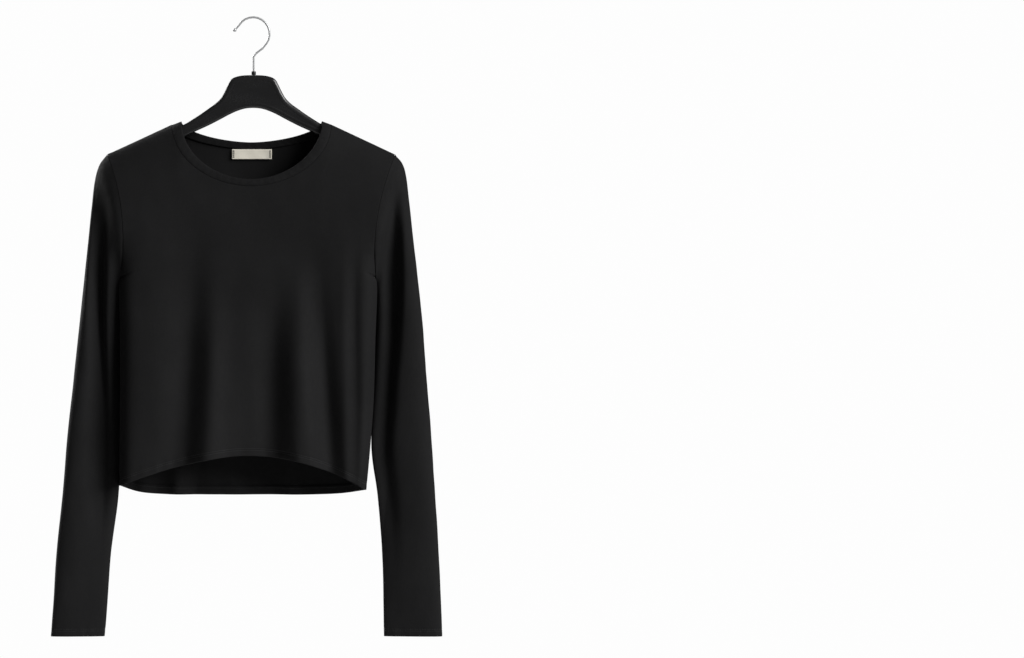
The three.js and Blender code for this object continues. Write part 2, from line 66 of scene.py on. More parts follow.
def table(columns, rows):
    """The rows as one array for each named column."""
    return dict(zip(columns.split(), np.array(rows, float).T))


# Shoulders and armholes
RIDGE_TOP = -129.5
RIDGE_START = 88.0
TIP_X, TIP_Z = 181.0, -171.5
UNDERARM_X, UNDERARM_Z = 160.5, -325.0
ARMHOLE_BOW = 10.5

# Half depth of the hanging garment from its middle plane
UPPER_DEPTH = 24.0
HEM_DEPTH = 32.0
ROUND_DROP = (TIP_Z - UNDERARM_Z) / 2
HEM_DROP = 430.0
SIDE_PINCH = 0.35
SIDE_FLAT = {"front": 24.0, "back": 14.0}
SWELL_START, SWELL_END = 230.0, 400.0
SIDE_FADE, FOLD_SIDE_FADE = 10, 8

# Neckband edges: half width at the ridge, height at the ridge, and at the middle of each face
NECK_FREE = {"half": 88.5, "ridge": RIDGE_TOP, "front": -203.6, "back": -155.2}
NECK_SEAM = {"half": 100.5, "ridge": -134.0, "front": -212.4, "back": -163.4}
NECK_FULLNESS = {"front": 1.95, "back": 1.7}
NECK_CROWDING = 1.8

# Hems: height at the middle, how late the curve drops to the left and right, and height at the side seams
HEM_LEFT, HEM_RIGHT = -588.0, -593.5
HEM_MIDDLE = {"front": -549.5, "back": -600.5}
HEM_POWER = {"front": (1.6, 2.1), "back": (7.0, 7.0)}
HEM_SPREAD = 0.8

UNDERARM_SHARE = 0.45
UNDERARM_MIDDLE = -340.0

BODY_SECTIONS = table("z middle half", [
    [-120, -1.8, 181],
    [-172, -2.5, 181],
    [-325, -6.3, 160.5],
    [-330, -6.3, 162.2],
    [-345, -6.4, 162.8],
    [-372, -6.6, 162],
    [-400, -6.8, 161],
    [-480, -8, 160],
    [-541, -10.4, 158],
    [-600, -13.4, 155.6],
])

# Sleeve sections from the armhole to the cuff, as flat rings between an outer and an inner edge
SLEEVE_SECTIONS = table(
    "outer_z inner_z depth shift bow left_outer left_inner right_outer right_inner", [
        [-171.5, -325, 24, 0, 10.5, 183.5, 166.8, 178.5, 154.2],
        [-184.5, -331, 25.5, 1, 8, 193.5, 166.6, 188.5, 153.8],
        [-205, -338, 27, 3, 5, 199.3, 166.3, 193.3, 153.5],
        [-244, -350, 28, 6, 2.5, 204.3, 166.5, 198.5, 153.4],
        [-290, -368, 28, 8, 1, 209.3, 166.8, 204, 153.5],
        [-345, -395, 27, 9, 0, 214.8, 167, 209.5, 153.3],
        [-405, -430, 25, 9, 0, 221.2, 167, 215, 152.6],
        [-470, -485, 22, 9, 0, 228.2, 167.3, 220.5, 151],
        [-541, -545, 19, 8, 0, 235.3, 167.5, 225.7, 149.4],
        [-605, -605, 15.5, 6, 0, 241, 170.9, 229.5, 157],
        [-675, -675, 12.5, 4, 0, 247.8, 178.6, 234.4, 163.2],
        [-778, -778, 10, 3, 0, 255, 187.8, 238.5, 165],
    ])
CUFF = len(SLEEVE_SECTIONS["depth"]) - 1
ARMHOLE_FADE = 2.2
INNER_PINCH, PINCH_ROWS = 0.45, 3
BOX_POWER, BOX_ROWS = 0.55, 4

# The long pressed folds down each sleeve: where they lie on the section (-1 inner edge, 1 outer edge),
# how deep they are and how wide, for each section. Each is shifted to the viewer's left in millimetres,
# gentler on that side, and no deeper than a share of the sleeve's depth there
CREASE_SHIFT, CREASE_LEAN, CREASE_LIMIT = 1.5, 2.2, 0.8
SLEEVE_CREASES = {
    ("left", "front"): table("place depth width", [
        [0.42, 0, 6], [0.42, 2, 6], [0.37, 9, 6], [0.30, 15, 5.5], [0.14, 17, 5.5], [-0.03, 17, 5.5],
        [-0.18, 15, 5.5], [-0.33, 13, 6.5], [-0.45, 11, 8], [-0.5, 5, 8], [-0.6, 1, 9], [-0.65, 0, 9],
    ]),
    ("right", "front"): table("place depth width", [
        [0.42, 0, 6], [0.42, 2, 6], [0.38, 9, 6], [0.28, 15, 6], [0.10, 17, 6.5], [-0.06, 17, 6.5],
        [-0.22, 15, 6.5], [-0.40, 12, 7], [-0.55, 10, 8], [-0.55, 6, 8], [-0.6, 1, 9], [-0.65, 0, 9],
    ]),
    ("left", "back"): table("place depth width", [
        [0.3, 0, 6], [0.3, 2, 6], [0.1, 7, 6], [-0.2, 12, 6], [-0.35, 14, 6], [-0.4, 14, 6],
        [-0.45, 13, 6], [-0.5, 9, 7], [-0.55, 4, 8], [-0.6, 1, 8], [-0.6, 0, 9], [-0.6, 0, 9],
    ]),
    ("right", "back"): table("place depth width", [
        [0.34, 0, 6], [0.34, 2, 6], [0.16, 7, 6], [-0.14, 12, 6], [-0.3, 14, 6], [-0.36, 14, 6],
        [-0.42, 12, 6], [-0.48, 8, 7], [-0.55, 3, 8], [-0.6, 1, 8], [-0.6, 0, 9], [-0.6, 0, 9],
    ]),
}

# Soft troughs down each panel, each with a ridge beside it: start, end, width, depth, the side of the
# ridge, its share of the depth, and how far the trough bends sideways on its way. Each is gentler on the
# viewer's left, grows over a share of its length, and runs on a little beyond its end
FOLD_LEAN, FOLD_GROWTH, FOLD_REACH, RIDGE_APART = 1.5, 0.7, 1.2, 1.8
FOLD_COLUMNS = "top_x top_z end_x end_z width depth ridge_side ridge bend"
FOLDS = {
    "front": table(FOLD_COLUMNS, [
        [-78, -250, -88, -570, 17, 9, 1, 0.9, 2],
        [24, -290, 25, -565, 17, 10, 1, 0.9, -2],
        [79, -270, 100, -590, 13, 11, -1, 0.5, 0],
        [-18, -380, -12, -560, 14, 2.2, 1, 0.4, 0],
        [131, -250, 128, -440, 7, 4, -1, 0.3, -2],
    ]),
    "back": table(FOLD_COLUMNS, [
        [118, -300, 148, -590, 12, 7.5, -1, 0.4, 4],
        [54, -390, 53, -598, 17, 8, -1, 0.4, 0],
        [-18, -380, -24, -598, 13, 3, 1, 0.3, 2],
        [-76, -320, -96, -598, 12, 8, 1, 0.5, -3],
        [-141, -250, -140, -560, 10, 5, 1, 0.2, 3],
    ]),
}

# Label, under the back neckband, with its slight wave and droop and the columns that are stitched
LABEL_ROWS, LABEL_COLUMNS = 24, 72
LABEL_LEFT, LABEL_TOP = -26.8, -164.2
LABEL_OFF, LABEL_THICK = 3.3, 0.45
LABEL_WAVE, LABEL_WAVE_LENGTH, LABEL_WAVE_START, LABEL_DROOP = 0.18, 23.0, 0.6, 0.35
LABEL_STITCHED = (2, 3, 4, -5, -4, -3)
LABEL_SPACING, LABEL_LIFT = 2.5, 0.1

# Section of the neckband: distance from the seam and height. The lip and the foot are in millimetres,
# and the crown and the inside have their distances as shares of the band's width
BAND_LIP = np.array([[-0.6, -2.2], [-0.6, -2.0], [0.15, -1.9], [0.15, -1.0], [0.25, -0.2], [0.7, 0.03]])
BAND_CROWN = np.array([[0.3, 0.22], [0.5, 0.28], [0.7, 0.24]])
BAND_INSIDE = np.array([[0.7, -2.15], [0.4, -2.2]])
BAND_FOOT = np.array([[0.8, -2.2]])
BAND_EDGE, BAND_EDGE_MIDDLE = 1.1, -0.95
BAND_FINE, BAND_PLACES = 2401, 420

# Hanger outline, right half: crown, flank down to the arm, arm tip and arch
HANGER_HALF = 4.0
OUTLINE_STEP = 2.0
CROWN_TOP = -71.7
CROWN = [[0, -71.7], [8, -71.8], [16, -72.5], [22.5, -74.1], [26.2, -75.9], [28.7, -78.2], [30.2, -80.5]]
FLANK = [
    [34.1, -88.5], [37.3, -94.9], [41, -101], [47.8, -107.8], [56.2, -113.9], [63.6, -119.2],
    [71.4, -124.4], [78, -128.6], [84, -132.3], [92, -136.2],
]
ARM_TIP_X, ARM_TIP_Z, ARM_TIP_RADIUS = 172.5, -181.5, 8.5
ARCH = [
    [71.4, -141.9], [56.2, -135], [41, -127.2], [30, -121.3], [19.5, -116.6], [9.5, -113.7], [0, -112.9],
]

WIRE_RADIUS, WIRE_SIDES = 1.3, 20
HOOK_RADIUS = 20.8
HOOK_CENTRE = WIRE_RADIUS - HOOK_RADIUS
HOOK_STEM_TOP = -58.0
HOOK_BEND = [[0.7, -48.2], [3.5, -44.4], [11.6, -38.2]]
HOOK_START, HOOK_STOP = -0.62, 2.62
HOOK_END_X, HOOK_END_Z = -23.2, -14.8
BALL_RADIUS = 2.3
SOCKET_DEPTH = 13.7
COLLAR_RADIUS, COLLAR_HEIGHT, COLLAR_SIDES = 2.8, 4.5, 40
COLLAR_LOW, COLLAR_ROUND = -71.4, 0.7

# Sewn edges: rows next to a seam as shares of a piece, how far its first points turn in beyond the seam,
# the numbers of the row on the seam and of one just off it, how round the edge is, how far its direction
# reaches, half the gap at a side seam, how far a sleeve is tucked in at the underarm, and the shares of a
# panel, of half a turn and of its rows where what belongs to the armhole starts or fades
NEAR_SEAM = np.array([0, 0.0007, 0.0018, 0.0035, 0.006, 0.010])
TURNED_IN = (1.2, 0.6)
ON_SEAM, OFF_SEAM = 2, 5
SEAM_RADIUS, SEAM_FADE, SEAM_HALF = 0.6, 4.0, 0.15
UNDERARM_TUCK, UNDERARM_WIDTH = 1.5, 0.2
NEAR_SIDE, ARMHOLE_END, ARMHOLE_FADE_ROWS = 0.9, 0.9, 0.05

# Points of the grids: columns of half a panel, points round a sleeve, rows of each, rows of the fold at a
# hem, and even rows above a hem with a gap above them (a share of a panel, millimetres of a sleeve)
PANEL_COLUMNS, PANEL_ROWS, PANEL_GAP, PANEL_SLACK = 104, 150, 0.004, 1.06
SLEEVE_COLUMNS, SLEEVE_ROWS, SLEEVE_GAP, SLEEVE_FINE = 132, 205, 1.5, 1101
FOLD_ROWS = 5
HEM_ZONE, HEM_STEP = 15.0, 0.75
HEM_HEIGHTS = np.arange(HEM_ZONE, -HEM_STEP / 2, -HEM_STEP)

# Step for the slopes of a surface, and the range of an angle that may run past a full turn
STEP = 1e-4
ALL_ROUND = (-9, 9)

# Hems: extra thickness of the turned-up cloth, depth of the dents under the stitches, their width and
# distance, how far a stitch stands off, and the columns of a panel that its hem stitches cross
HEM_EXTRA = {"panel": 0.95, "sleeve": 0.8}
DENT = {"panel": 0.22, "sleeve": 0.16}
DENT_WIDTH, DENT_GAP = 1.6, 2.6
STITCH_LIFT = 0.12
STITCHED = slice(4, -4)
THREAD_RINGS, THREAD_SIDES = 7, 6

# Ripples in the cloth: height, how much finer the pattern is along x and z, its length and its seed
RIPPLES = {
    "panel": {
        "pucker": (0.3, 3, 0.3, 22, 11),
        "hem": (0.35, 2.2, 0.25, 24, 12),
        "armhole": (0.28, 0.4, 2, 22, 13),
        "broad": (0.9, 1, 0.55, 95, 14),
        "small": (0.16, 1, 0.5, 30, 15),
    },
    "sleeve": {
        "hem": (0.28, 2.4, 0.25, 22, 21),
        "armhole": (0.30, 0.5, 2, 22, 22),
        "broad": (0.8, 1.4, 0.5, 80, 23),
        "small": (0.14, 1.5, 0.5, 26, 24),
    },
}

# Sines in a ripple, the shift of the pattern on the back of a sleeve, how far the ripples by hems and
# armholes reach, and how far from the edges the others have grown to their height
WAVE_COUNT = 9
BACK_ASIDE = 37
HEM_RIPPLE_MIDDLE, HEM_RIPPLE_REACH = 5, {"panel": 9, "sleeve": 8}
ARMHOLE_RIPPLE_REACH = 14
CALM_SIDE, CALM_SIDE_SMALL, CALM_TOP, CALM_SLEEVE = 40, 20, 60, 40

# Width of a cloth map's unit, and the reflection of the jersey
MAP_UNIT = 100
JERSEY_SHINE = 0.12

# Direction and softness of the lights in degrees, the floor, and the camera's frame at the middle plane
KEY_AZIMUTH, KEY_ELEVATION, KEY_ANGLE = 55, 25, 36
FLOOR_HALF = 2.5
SENSOR_WIDTH = 36
VIEW_WIDTH, VIEW_MIDDLE, VIEW_SHIFT = 1290.2, -391.5, 0.2528


def lerp(a, b, t):
    """Straight mix from a to b."""
    return a + (b - a) * t


def smoothstep(x, low, high):
    """0 below low, 1 above high, and a smooth S between."""
    t = np.clip((x - low) / (high - low), 0, 1)
    return t * t * (3 - 2 * t)


def bell(x, width):
    """1 at 0, falling off evenly on both sides."""
    return np.exp(-(x / width) ** 2)


def full_turn(count):
    """Even angles of a full turn."""
    return np.linspace(0, 2 * PI, count + 1)[:-1]


def curve_at(values, position):
    """Cubic pieces through the values, whose slope at each is the slope between its neighbours."""
    last = len(values) - 1
    slope = np.gradient(values)
    i = np.clip(np.floor(position).astype(int), 0, last - 1)
    u = position - i
    rise = u * u * (3 - 2 * u)
    return (values[i] * (1 - rise) + values[i + 1] * rise
            + slope[i] * u * (1 - u) ** 2 - slope[i + 1] * u * u * (1 - u))


def body_at(z):
    """Middle and half width of the body at a height."""
    position = np.interp(-z, -BODY_SECTIONS["z"], np.arange(len(BODY_SECTIONS["z"])))
    return curve_at(BODY_SECTIONS["middle"], position), curve_at(BODY_SECTIONS["half"], position)


def half_depth(x, z):
    """A quarter ellipse below the shoulder ridge, then a slow swell down to the hem."""
    fall = (RIDGE_TOP - TIP_Z) / (TIP_X - RIDGE_START)
    ridge = RIDGE_TOP - fall * np.maximum(0, x - RIDGE_START)
    drop = np.maximum(0, ridge - z)
    rounded = np.sqrt(1 - (1 - np.minimum(drop, ROUND_DROP) / ROUND_DROP) ** 2)
    return UPPER_DEPTH * rounded + (HEM_DEPTH - UPPER_DEPTH) * smoothstep(drop, ROUND_DROP, HEM_DROP)


def side_profile(face, share):
    """Share of that depth across a panel, from its middle (0) to its side seam (1)."""
    flat = SIDE_FLAT[face]
    return np.sqrt(np.maximum(0, 1 - share ** flat)) * (1 - SIDE_PINCH * share ** (flat + 2))


def column_share(q):
    """Columns crowd together towards the side of a panel."""
    return 0.5 * q + 0.5 * np.sin(0.5 * PI * q)


NECK_SHARE = float(column_share(0.5))


def neck_angle(share):
    """Angle round the neckline for a share of a panel, crowding together towards the ridge."""
    return (PI / 2) * (1 - np.maximum(0, 1 - share / NECK_SHARE) ** NECK_CROWDING)


def neckline(edge, face, angle):
    """Rounded half ring from the middle of a face (angle 0) to the ridge (a quarter turn)."""
    power = 2 / NECK_FULLNESS[face]
    x = edge["half"] * np.maximum(0, np.sin(angle)) ** power
    z = lerp(edge["ridge"], edge[face], np.maximum(0, np.cos(angle)) ** power)
    return x, z


def armhole(angle):
    """Bowed curve from the shoulder tip (angle 0) round a face to the underarm (half a turn)."""
    share = (1 - np.cos(angle)) / 2
    x = lerp(TIP_X, UNDERARM_X, share) - ARMHOLE_BOW * np.sin(angle) ** 2
    z = lerp(TIP_Z, UNDERARM_Z, share)
    closing = np.where(angle > PI / 2, np.maximum(0, np.sin(angle)), 1)
    return x, z, half_depth(x, z) * closing


def top_edge(face, share):
    """Neck seam from the middle, then the straight shoulder seam to the tip."""
    neck_x, neck_z = neckline(NECK_SEAM, face, neck_angle(np.minimum(share, NECK_SHARE)))
    t = np.maximum(0, (share - NECK_SHARE) / (1 - NECK_SHARE))
    on_neck = share <= NECK_SHARE
    x = np.where(on_neck, neck_x, lerp(NECK_SEAM["half"], TIP_X, t))
    return x, np.where(on_neck, neck_z, lerp(NECK_SEAM["ridge"], TIP_Z, t))


def side_edge(corner, down):
    """Armhole for the first rows, then the side seam down to the hem corner."""
    x, z, depth = armhole(PI * np.minimum(down / UNDERARM_SHARE, 1))
    low_z = lerp(UNDERARM_Z, corner, (down - UNDERARM_SHARE) / (1 - UNDERARM_SHARE))
    below = down > UNDERARM_SHARE
    return np.where(below, body_at(low_z)[1], x), np.where(below, low_z, z), np.where(below, 0, depth)


def hem_edge(face, corner, share):
    """Hem from the middle to the corner, dropping by a power of the way out."""
    reach = share ** HEM_SPREAD
    power = np.where(corner == HEM_LEFT, *HEM_POWER[face])
    return body_at(corner)[1] * reach, lerp(HEM_MIDDLE[face], corner, reach ** power)


def middle_height(face, down):
    """Height down the middle of a panel."""
    turn = np.minimum(down / UNDERARM_SHARE, 1)
    upper = lerp(NECK_SEAM[face], UNDERARM_MIDDLE, 0.5 * turn + 0.25 * (1 - np.cos(PI * turn)))
    low_share = (down - UNDERARM_SHARE) / (1 - UNDERARM_SHARE)
    return np.where(down > UNDERARM_SHARE, lerp(UNDERARM_MIDDLE, HEM_MIDDLE[face], low_share), upper)


def fold_at(face, x, z):
    """Sum of the troughs: a bell across each, less a bell for the ridge beside it, growing downwards.

    A trough is gentle on the viewer's left and steep on the right, as the cloth swings.
    """
    folds = FOLDS[face]
    total = np.zeros_like(x)
    for k in range(len(folds["depth"])):
        fold = {name: values[k] for name, values in folds.items()}
        t = (fold["top_z"] - z) / (fold["top_z"] - fold["end_z"])
        reach = np.clip(t, 0, FOLD_REACH)
        centre = lerp(fold["top_x"], fold["end_x"], reach) + fold["bend"] * np.sin(PI * reach)
        across = (x - centre) / fold["width"]
        viewer_left = across * FACING[face] > 0
        trough = bell(across, np.where(viewer_left, FOLD_LEAN, 1))
        shape = trough - fold["ridge"] * bell(across - RIDGE_APART * fold["ridge_side"], 1)
        total = total + fold["depth"] * smoothstep(t, 0, FOLD_GROWTH) * shape
    return total


def panel_point(face, across, down):
    """Coons blend of a panel's four edges, with the depth of the garment's sections and its folds.

    across runs from -1 at the left side to 1 at the right, and down from 0 at the top to 1 at the hem.
    """
    share = np.abs(across)
    corner = np.where(across < 0, HEM_LEFT, HEM_RIGHT)
    edge_x, edge_z, edge_depth = side_edge(corner, down)

    def blend(top, hem, edge, middle):
        def upright(at):
            return lerp(top(at), hem(at), down)
        zero, one = np.zeros_like(share), np.ones_like(share)
        return upright(share) + (1 - share) * (middle - upright(zero)) + share * (edge - upright(one))

    x = blend(lambda s: top_edge(face, s)[0], lambda s: hem_edge(face, corner, s)[0], edge_x, 0)
    z = blend(lambda s: top_edge(face, s)[1], lambda s: hem_edge(face, corner, s)[1],
              edge_z, middle_height(face, down))
    full = half_depth(x, z)
    open_above = 1 - smoothstep(-z, SWELL_START, SWELL_END)
    closing = np.where(down > 0, edge_depth / np.maximum(1e-6, half_depth(edge_x, edge_z)), 1)
    rounded = full * lerp(lerp(open_above, closing, share ** SIDE_FADE), 1, side_profile(face, share))
    signed_x = np.sign(across) * x + body_at(z)[0]
    depth = rounded - fold_at(face, signed_x, z) * (1 - share ** FOLD_SIDE_FADE)
    return np.stack([signed_x, FACING[face] * depth, z], -1)


def armhole_point(side, around):
    """Point of the armhole seam. around is an angle: 0 at the tip, half a turn at the underarm."""
    turn = np.mod(around, 2 * PI)
    x, z, depth = armhole(np.where(turn > PI, 2 * PI - turn, turn))
    return np.stack([OUT[side] * x + body_at(z)[0], np.where(turn > PI, depth, -depth), z], -1)


def sleeve_point(side, along, around):
    """Ring between the outer and inner edges, with its pressed folds, fading into the armhole seam.

    along counts the sections from the armhole to the cuff. around is 0 at the outer edge, then passes
    the front, the inner edge at half a turn, and the back.
    """
    at = {name: curve_at(values, along) for name, values in SLEEVE_SECTIONS.items()}
    share = (1 - np.cos(around)) / 2
    outer, inner = at[side + "_outer"], at[side + "_inner"]
    swing = np.sin(around)
    box = lerp(1, BOX_POWER, smoothstep(along, 0, BOX_ROWS) * (1 - share ** 4))
    boxed = np.sign(swing) * np.abs(swing) ** box

    def ring(depth, bow, outer_x, inner_x, outer_z, inner_z, bulge=swing):
        return np.stack([OUT[side] * (lerp(outer_x, inner_x, share) - bow * swing ** 2),
                         -depth * bulge,
                         lerp(outer_z, inner_z, share)], -1)

    pinch = 1 - INNER_PINCH * share * smoothstep(along, 0, PINCH_ROWS)
    point = ring(at["depth"] * pinch, at["bow"], outer, inner, at["outer_z"], at["inner_z"], boxed)
    cut = np.zeros_like(share)
    for face, facing in (("front", swing >= 0), ("back", swing < 0)):
        crease = {name: curve_at(values, along) for name, values in SLEEVE_CREASES[side, face].items()}
        offset = (np.cos(around) - crease["place"]) * (outer - inner) / 2
        offset = CREASE_SHIFT - offset * OUT[side] * FACING[face]
        width = crease["width"] * np.where(offset < 0, CREASE_LEAN, 1)
        depth = np.minimum(np.maximum(0, crease["depth"]), CREASE_LIMIT * np.abs(point[..., 1]))
        cut = np.where(facing, depth * bell(offset, width), cut)
    point[..., 1] += at["shift"] - np.sign(point[..., 1]) * cut
    first = {name: values[0] for name, values in SLEEVE_SECTIONS.items()}
    start = ring(first["depth"], first["bow"], first[side + "_outer"], first[side + "_inner"],
                 first["outer_z"], first["inner_z"])
    fade = (1 - smoothstep(along, 0, ARMHOLE_FADE))[..., None]
    return point + fade * (armhole_point(side, around) - start)


def band_point(width, around):
    """Flat strip between the neck seam (width 0) and the free edge (width 1).

    around is an angle from the front middle by the viewer's right to the back.
    """
    front = np.cos(around) >= 0
    angle = np.arcsin(np.minimum(1, np.abs(np.sin(around))))
    ends = []
    for edge in (NECK_SEAM, NECK_FREE):
        faces = [np.stack(neckline(edge, face, angle)) for face in ("front", "back")]
        ends.append(np.where(front, faces[0], faces[1]))
    x, z = lerp(ends[0], ends[1], width)
    depth = half_depth(x, z)
    return np.stack([np.sign(np.sin(around)) * x + body_at(z)[0], np.where(front, -depth, depth), z], -1)


def unit(vectors):
    """The vectors at length 1."""
    return vectors / np.maximum(1e-9, np.linalg.norm(vectors, axis=-1, keepdims=True))


def surface_normal(point, u, v, u_range, v_range, reference):
    """Cross product of the two slopes of a surface, turned to the side of a reference direction."""
    def at(du, dv):
        return point(np.clip(u + du, *u_range), np.clip(v + dv, *v_range))
    normal = unit(np.cross(at(STEP, 0) - at(-STEP, 0), at(0, STEP) - at(0, -STEP)))
    facing = np.sum(normal * reference, -1, keepdims=True)
    return np.where(facing < 0, -normal, normal)


def panel_inward(face, across, down):
    """Square to the panel and into the garment: mostly front to back, and sideways only at its sides."""
    ahead = np.full_like(across, -FACING[face])
    reference = np.stack([-np.sign(across) * np.abs(across) ** 12, ahead, np.full_like(across, -0.3)], -1)
    return surface_normal(lambda u, v: panel_point(face, u, v), across, down, (-1, 1), (0, 1), reference)


def sleeve_inward(side, along, around):
    """Square to the sleeve and into its tube: front to back, and across only at its edges."""
    inner, outer = (sleeve_point(side, along, np.full_like(around, edge)) for edge in (PI, 0))
    reference = unit(inner - outer) * np.cos(around)[..., None] ** 9
    reference[..., 1] += np.sin(around)
    return surface_normal(lambda u, v: sleeve_point(side, u, v), along, around,
                          (0, CUFF), ALL_ROUND, reference)


def band_inward(width, around):
    """Square to the neckband and into the neck."""
    reference = np.stack([-np.sin(around) * np.abs(np.sin(around)) ** 8, np.cos(around),
                          np.full_like(around, -0.1)], -1)
    return surface_normal(band_point, width, around, (0, 1), ALL_ROUND, reference)


def armhole_inward(side, around):
    """Square to the armhole seam, towards the middle of its ring."""
    tangent = unit(armhole_point(side, around + STEP) - armhole_point(side, around - STEP))
    centre = sum(armhole_point(side, np.full_like(around, end)) for end in (0, PI)) / 2
    inward = centre - armhole_point(side, around)
    return unit(inward - tangent * np.sum(inward * tangent, -1, keepdims=True))


def waves(x, z, length, seed):
    """Uneven ripples between -1 and 1: a sum of sines of about one length, in random directions."""
    rng = np.random.default_rng(seed)
    total = np.zeros_like(x)
    for _ in range(WAVE_COUNT):
        turn, phase = rng.uniform(0, 2 * PI, 2)
        pitch = length * rng.uniform(0.75, 1.5)
        total = total + np.sin(2 * PI * (x * np.cos(turn) + z * np.sin(turn)) / pitch + phase)
    return total / WAVE_COUNT ** 0.5 / 1.6


def ripple(x, z, piece, kind, extra_seed=0, aside=0):
    """One kind of ripple at places on the cloth, with its pattern moved aside where asked."""
    height, finer_x, finer_z, length, seed = RIPPLES[piece][kind]
    return height * waves(x * finer_x + aside, z * finer_z, length, seed + extra_seed)


def path_length(points, axis):
    """Distance along each row or column of a grid, from its first point."""
    steps = np.linalg.norm(np.diff(points, axis=axis), axis=-1)
    start = np.zeros_like(np.take(steps, [0], axis))
    return np.concatenate([start, np.cumsum(steps, axis)], axis)


def along_line(points, length, at):
    """Points at distances along a line whose own points lie at the given lengths."""
    return np.stack([np.interp(at, length, column) for column in points.T], -1)


def roll(distance):
    """How far a sewn edge turns in, as a quarter circle that ends at the seam."""
    near = np.clip(1 - distance / SEAM_RADIUS, 0, 1)
    return SEAM_RADIUS * (1 - np.sqrt(1 - near ** 2))


def wall_way(inward, distance, away):
    """Way through the wall by a sewn edge: it turns with the roll until it points away from the seam."""
    aside = np.clip(1 - distance / SEAM_RADIUS, 0, 1)[..., None]
    return unit(inward * np.sqrt(1 - aside ** 2) + unit(away) * aside)


def spread(count, crowd):
    """Steps from 0 to 1 that start crowded, after zeros for the points that turn in."""
    return np.concatenate([np.zeros(len(TURNED_IN)), crowd, np.linspace(crowd[-1], 1, count)[1:]])


def turned_in(count):
    """How far each of a number of points turns in beyond the seam."""
    return np.concatenate([TURNED_IN, np.zeros(count - len(TURNED_IN))])


def net(rows, columns, close_rows, close_columns):
    """Numbers of a grid's points, and the four-sided faces between them, closed where asked."""
    index = np.arange(rows * columns).reshape(rows, columns)
    full = np.concatenate([index, index[:1]]) if close_rows else index
    full = np.concatenate([full, full[:, :1]], 1) if close_columns else full
    quads = np.stack([full[:-1, :-1], full[1:, :-1], full[1:, 1:], full[:-1, 1:]], -1)
    return index, quads.reshape(-1, 4)


def wall(outside, way, thickness, fold_rows, round_columns):
    """Closed wall: the outside grid, a rounded fold along its last row, and the same grid moved in.

    A fold point is the last row moved in and out by a half circle as wide as the wall is thick.
    """
    inside = outside + way * thickness[..., None]
    edge, end = outside[-1], inside[-1]
    onward = unit(outside[-1] - outside[-2])
    turn = np.linspace(0, PI, fold_rows + 2)[1:-1, None, None]
    radius = np.linalg.norm(end - edge, axis=-1, keepdims=True) / 2
    fold = (edge + end) / 2 + (edge - end) / 2 * np.cos(turn) + onward * radius * np.sin(turn)
    grid = np.concatenate([outside, fold, inside[::-1]])
    rows, columns = grid.shape[:2]
    index, quads = net(rows, columns, True, round_columns)
    faces = [quads]
    if not round_columns:
        last = len(outside) - 1
        for column, onto in ((0, 1), (columns - 1, -1)):
            left, right = index[:last + 1, column], index[::-1][:last + 1, column]
            ladder = np.stack([left[:-1], right[:-1], right[1:], left[1:]], -1)
            fold_end = index[last:rows - last, column]
            faces.append(ladder[:, ::onto])
            faces.append(fold_end[None, ::-onto])
    return grid, faces


def signed_volume(points, faces):
    """Six times the volume that the faces enclose, above 0 when they point outwards."""
    total = 0.0
    for group in faces:
        first = points[group[:, 0]]
        for k in range(1, group.shape[1] - 1):
            total += np.sum(first * np.cross(points[group[:, k]], points[group[:, k + 1]]))
    return total


def corner_maps(maps, faces, girth):
    """Map of each face corner. Where a face closes a ring, those at its start move on by a girth."""
    corners = []
    for group in faces:
        values = maps[group]
        if girth is not None:
            around, whole = values[..., 0], girth[group]
            start = around < around.max(1, keepdims=True) - 0.5 * whole
            values[..., 0] = around + whole * start
        corners.append(values.reshape(-1, 2))
    return np.concatenate(corners)


def add_object(name, data):
    """New object in the scene, with its mesh, light or camera."""
    item = bpy.data.objects.new(name, data)
    bpy.context.scene.collection.objects.link(item)
    return item


def make_piece(name, points, faces, material, maps=None, girth=None):
    """Mesh object from points in millimetres and groups of faces, turned to point outwards."""
    points = points.reshape(-1, 3)
    if signed_volume(points, faces) < 0:
        faces = [group[:, ::-1] for group in faces]
    mesh = bpy.data.meshes.new(name)
    mesh.vertices.add(len(points))
    mesh.vertices.foreach_set("co", (points * MM).astype(np.float32).ravel())
    corners = np.concatenate([group.ravel() for group in faces]).astype(np.int32)
    sizes = np.concatenate([np.full(len(group), group.shape[1]) for group in faces])
    mesh.loops.add(len(corners))
    mesh.loops.foreach_set("vertex_index", corners)
    mesh.polygons.add(len(sizes))
    starts = np.concatenate([[0], np.cumsum(sizes)[:-1]])
    mesh.polygons.foreach_set("loop_start", starts.astype(np.int32))
    mesh.polygons.foreach_set("use_smooth", np.ones(len(sizes), bool))
    mesh.update(calc_edges=True)
    if maps is not None:
        layer = mesh.uv_layers.new(name="Cloth")
        girth = None if girth is None else girth.ravel()
        values = corner_maps(maps.reshape(-1, 2), faces, girth)
        layer.uv.foreach_set("vector", values.astype(np.float32).ravel())
    mesh.validate()
    mesh.materials.append(material)
    piece = add_object(name, mesh)
    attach(piece, BODY)
    return piece


def both_sides(values, grid_rows):
    """A value for each point of the outside grid, repeated for the fold and the inside."""
    rows = np.arange(len(values))
    fold = np.full(grid_rows - 2 * len(values), rows[-1])
    return values[np.concatenate([rows, fold, rows[::-1]])]


def armhole_part(angle):
    """How much the seam's own direction counts round the armhole, down to nothing at the underarm."""
    return (1 - smoothstep(angle, PI / 2, ARMHOLE_END * PI))[..., None]


def stitch_dents(piece, from_hem, sizes):
    """How far the twin rows of stitches draw the cloth in."""
    above = from_hem - sizes.stitch_height
    return DENT[piece] * (bell(above, DENT_WIDTH) + bell(above - DENT_GAP, DENT_WIDTH))


